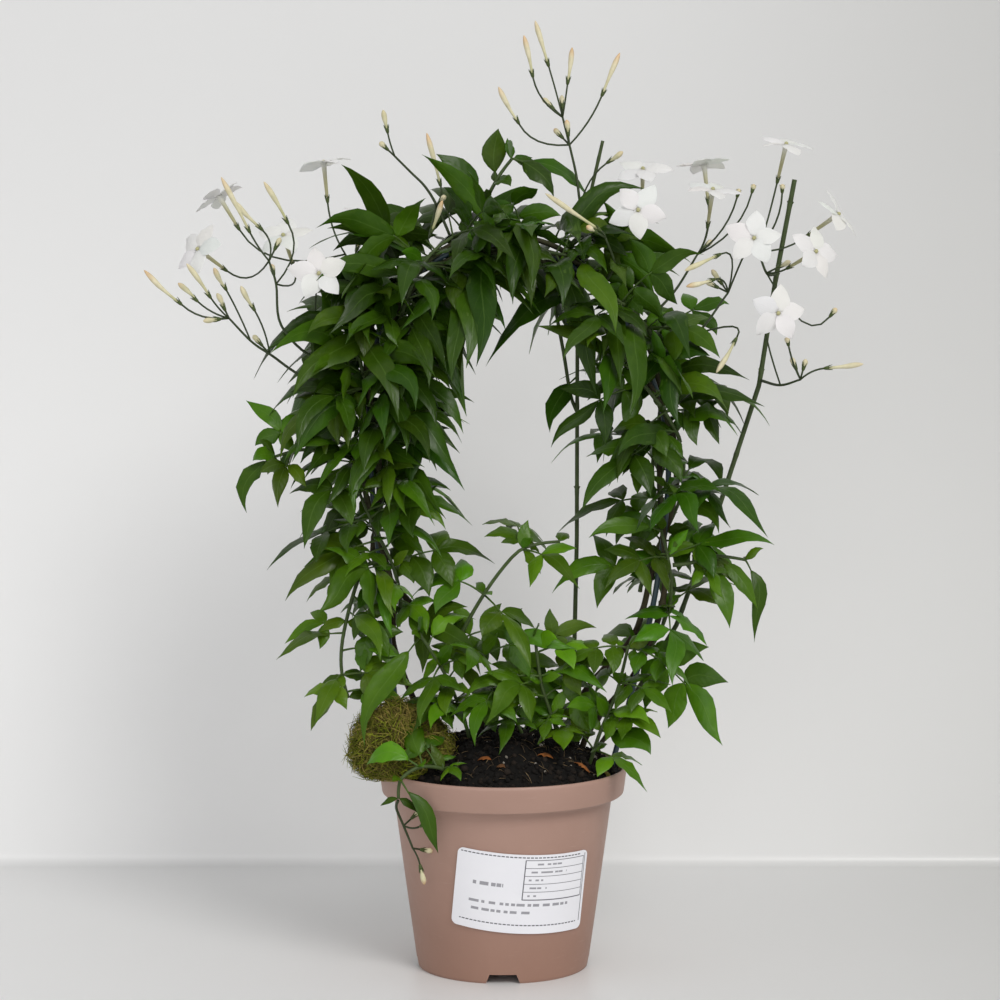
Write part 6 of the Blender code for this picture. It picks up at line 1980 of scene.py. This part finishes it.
class JASMINE_OT_shoots(bpy.types.Operator):
    """Build the leafy shoots and the centre stem with their leaves"""
    bl_idname = "jasmine.shoots"
    bl_label = "Leafy Shoots"

    def execute(self, context):
        settings = context.scene.jasmine
        blade = leaf_material(settings.leaf)
        stalk = tinted_material("shoot_stalk", 0.5, 260.0, (0.75, 0.75, 0.7), 0.15 * MM)
        tint = mixed(settings.leaf.stalk, settings.stem.green, 0.5)
        for shoot in plan_shoots()[0]:
            rng = random.Random(f"{shoot.name} leaves")
            shape = Shape()
            leaves = grown_leaves(shoot)
            for leaf in leaves:
                add_leaf(shape, leaf, settings.leaf, rng)
            if shoot.name == "stem_centre":
                add_stem(shape, shoot.route.points, STEM_RADIUS, STEM_RADIUS * STEM_TAPER, settings.stem,
                         "centre", 1)
            else:
                points = smooth(shoot.route.points, 3)
                last = len(points) - 1
                radii = [SHOOT_RADIUS * (1 - (1 - STEM_TAPER) * k / last) for k in range(last + 1)]
                add_tube(shape, points, radii, tint, 1, 7)
                add_sprouts(shape, shoot, leaves, settings.leaf, rng)
                if shoot.spacing == HOOP_SHOOT_SPACING or shoot.first == FIRST_LEAF_ROOTED:
                    add_fillers(shape, shoot, settings.leaf, rng)
            for branch in [BRANCHES[shoot.name]] if shoot.name in BRANCHES else []:
                points = smooth([vector(p) for p in branch], 4)
                add_tube(shape, points, [BRANCH_RADIUS] * len(points), settings.stem.green, 1, 8)
            stand_for(shape.object(f"{shoot.name}_leaves", [blade, stalk]), shoot.name)
        return {"FINISHED"}


class JASMINE_OT_sprays(bpy.types.Operator):
    """Build the flower sprays with their buds and calyxes"""
    bl_idname = "jasmine.sprays"
    bl_label = "Sprays"

    def execute(self, context):
        settings = context.scene.jasmine.spray
        hosts = plan_shoots()[1]
        made = tinted_material("spray_skin", 0.5, 300.0, (0.85, 0.85, 0.8), 0.12 * MM)
        for spray in SPRAYS:
            shape = Shape()
            add_spray(shape, spray, hosts, settings, random.Random(f"{spray.name} finish"))
            stand_for(shape.object(f"{spray.name}_buds", [made]), spray.name)
        return {"FINISHED"}


class JASMINE_OT_blooms(bpy.types.Operator):
    """Build the open blooms"""
    bl_idname = "jasmine.blooms"
    bl_label = "Blooms"

    def execute(self, context):
        settings = context.scene.jasmine.bloom
        made = petal_material(settings)
        for name, bloom in BLOOMS.items():
            shape = Shape()
            add_bloom(shape, name, bloom, settings)
            stand_for(shape.object(f"{name}_petals", [made]), name)
        return {"FINISHED"}


class JASMINE_OT_stage(bpy.types.Operator):
    """Set the table, the wall, the lights and the camera"""
    bl_idname = "jasmine.stage"
    bl_label = "Stage"

    def execute(self, context):
        settings = context.scene.jasmine.stage
        make_stage(settings)
        make_world(settings)
        add_light("key", KEY_PLACE, settings.key, KEY_COLOUR)
        add_light("fill", FILL_PLACE, settings.fill, FILL_COLOUR)
        make_camera()
        context.scene.view_settings.view_transform = "Standard"
        return {"FINISHED"}


class JASMINE_PT_panel(bpy.types.Panel):
    """Buttons for the pieces, each with its settings"""
    bl_idname = "JASMINE_PT_panel"
    bl_label = "Jasmine"
    bl_space_type = "VIEW_3D"
    bl_region_type = "UI"
    bl_category = "Jasmine"

    def draw(self, context):
        settings = context.scene.jasmine
        for name, operator in BUTTONS:
            box = self.layout.box()
            box.operator(operator.bl_idname)
            group = getattr(settings, name)
            for key in group.bl_rna.properties.keys():
                if key not in ("rna_type", "name"):
                    box.prop(group, key)


# Which settings each button stands over, in the order in which the pieces are made.
BUTTONS = [
    ("pot", JASMINE_OT_pot), ("label", JASMINE_OT_label), ("compost", JASMINE_OT_compost),
    ("moss", JASMINE_OT_moss), ("wire", JASMINE_OT_hoop), ("stem", JASMINE_OT_vines),
    ("stem", JASMINE_OT_right_stem), ("leaf", JASMINE_OT_shoots), ("spray", JASMINE_OT_sprays),
    ("bloom", JASMINE_OT_blooms), ("stage", JASMINE_OT_stage),
]

CLASSES = [
    JasminePot, JasmineLabel, JasmineCompost, JasmineMoss, JasmineWire, JasmineStem, JasmineLeaf,
    JasmineSpray, JasmineBloom, JasmineStage, JasmineSettings,
    *[operator for _, operator in BUTTONS], JASMINE_PT_panel,
]


def register():
    """Adds the buttons, the panel and the settings."""
    for made in CLASSES:
        bpy.utils.register_class(made)
    bpy.types.Scene.jasmine = bpy.props.PointerProperty(type=JasmineSettings)


def unregister():
    """Takes them away again."""
    del bpy.types.Scene.jasmine
    for made in reversed(CLASSES):
        bpy.utils.unregister_class(made)


def main():
    register()
    for _, operator in BUTTONS:
        family, name = operator.bl_idname.split(".")
        getattr(getattr(bpy.ops, family), name)()


if __name__ == "__main__":
    main()
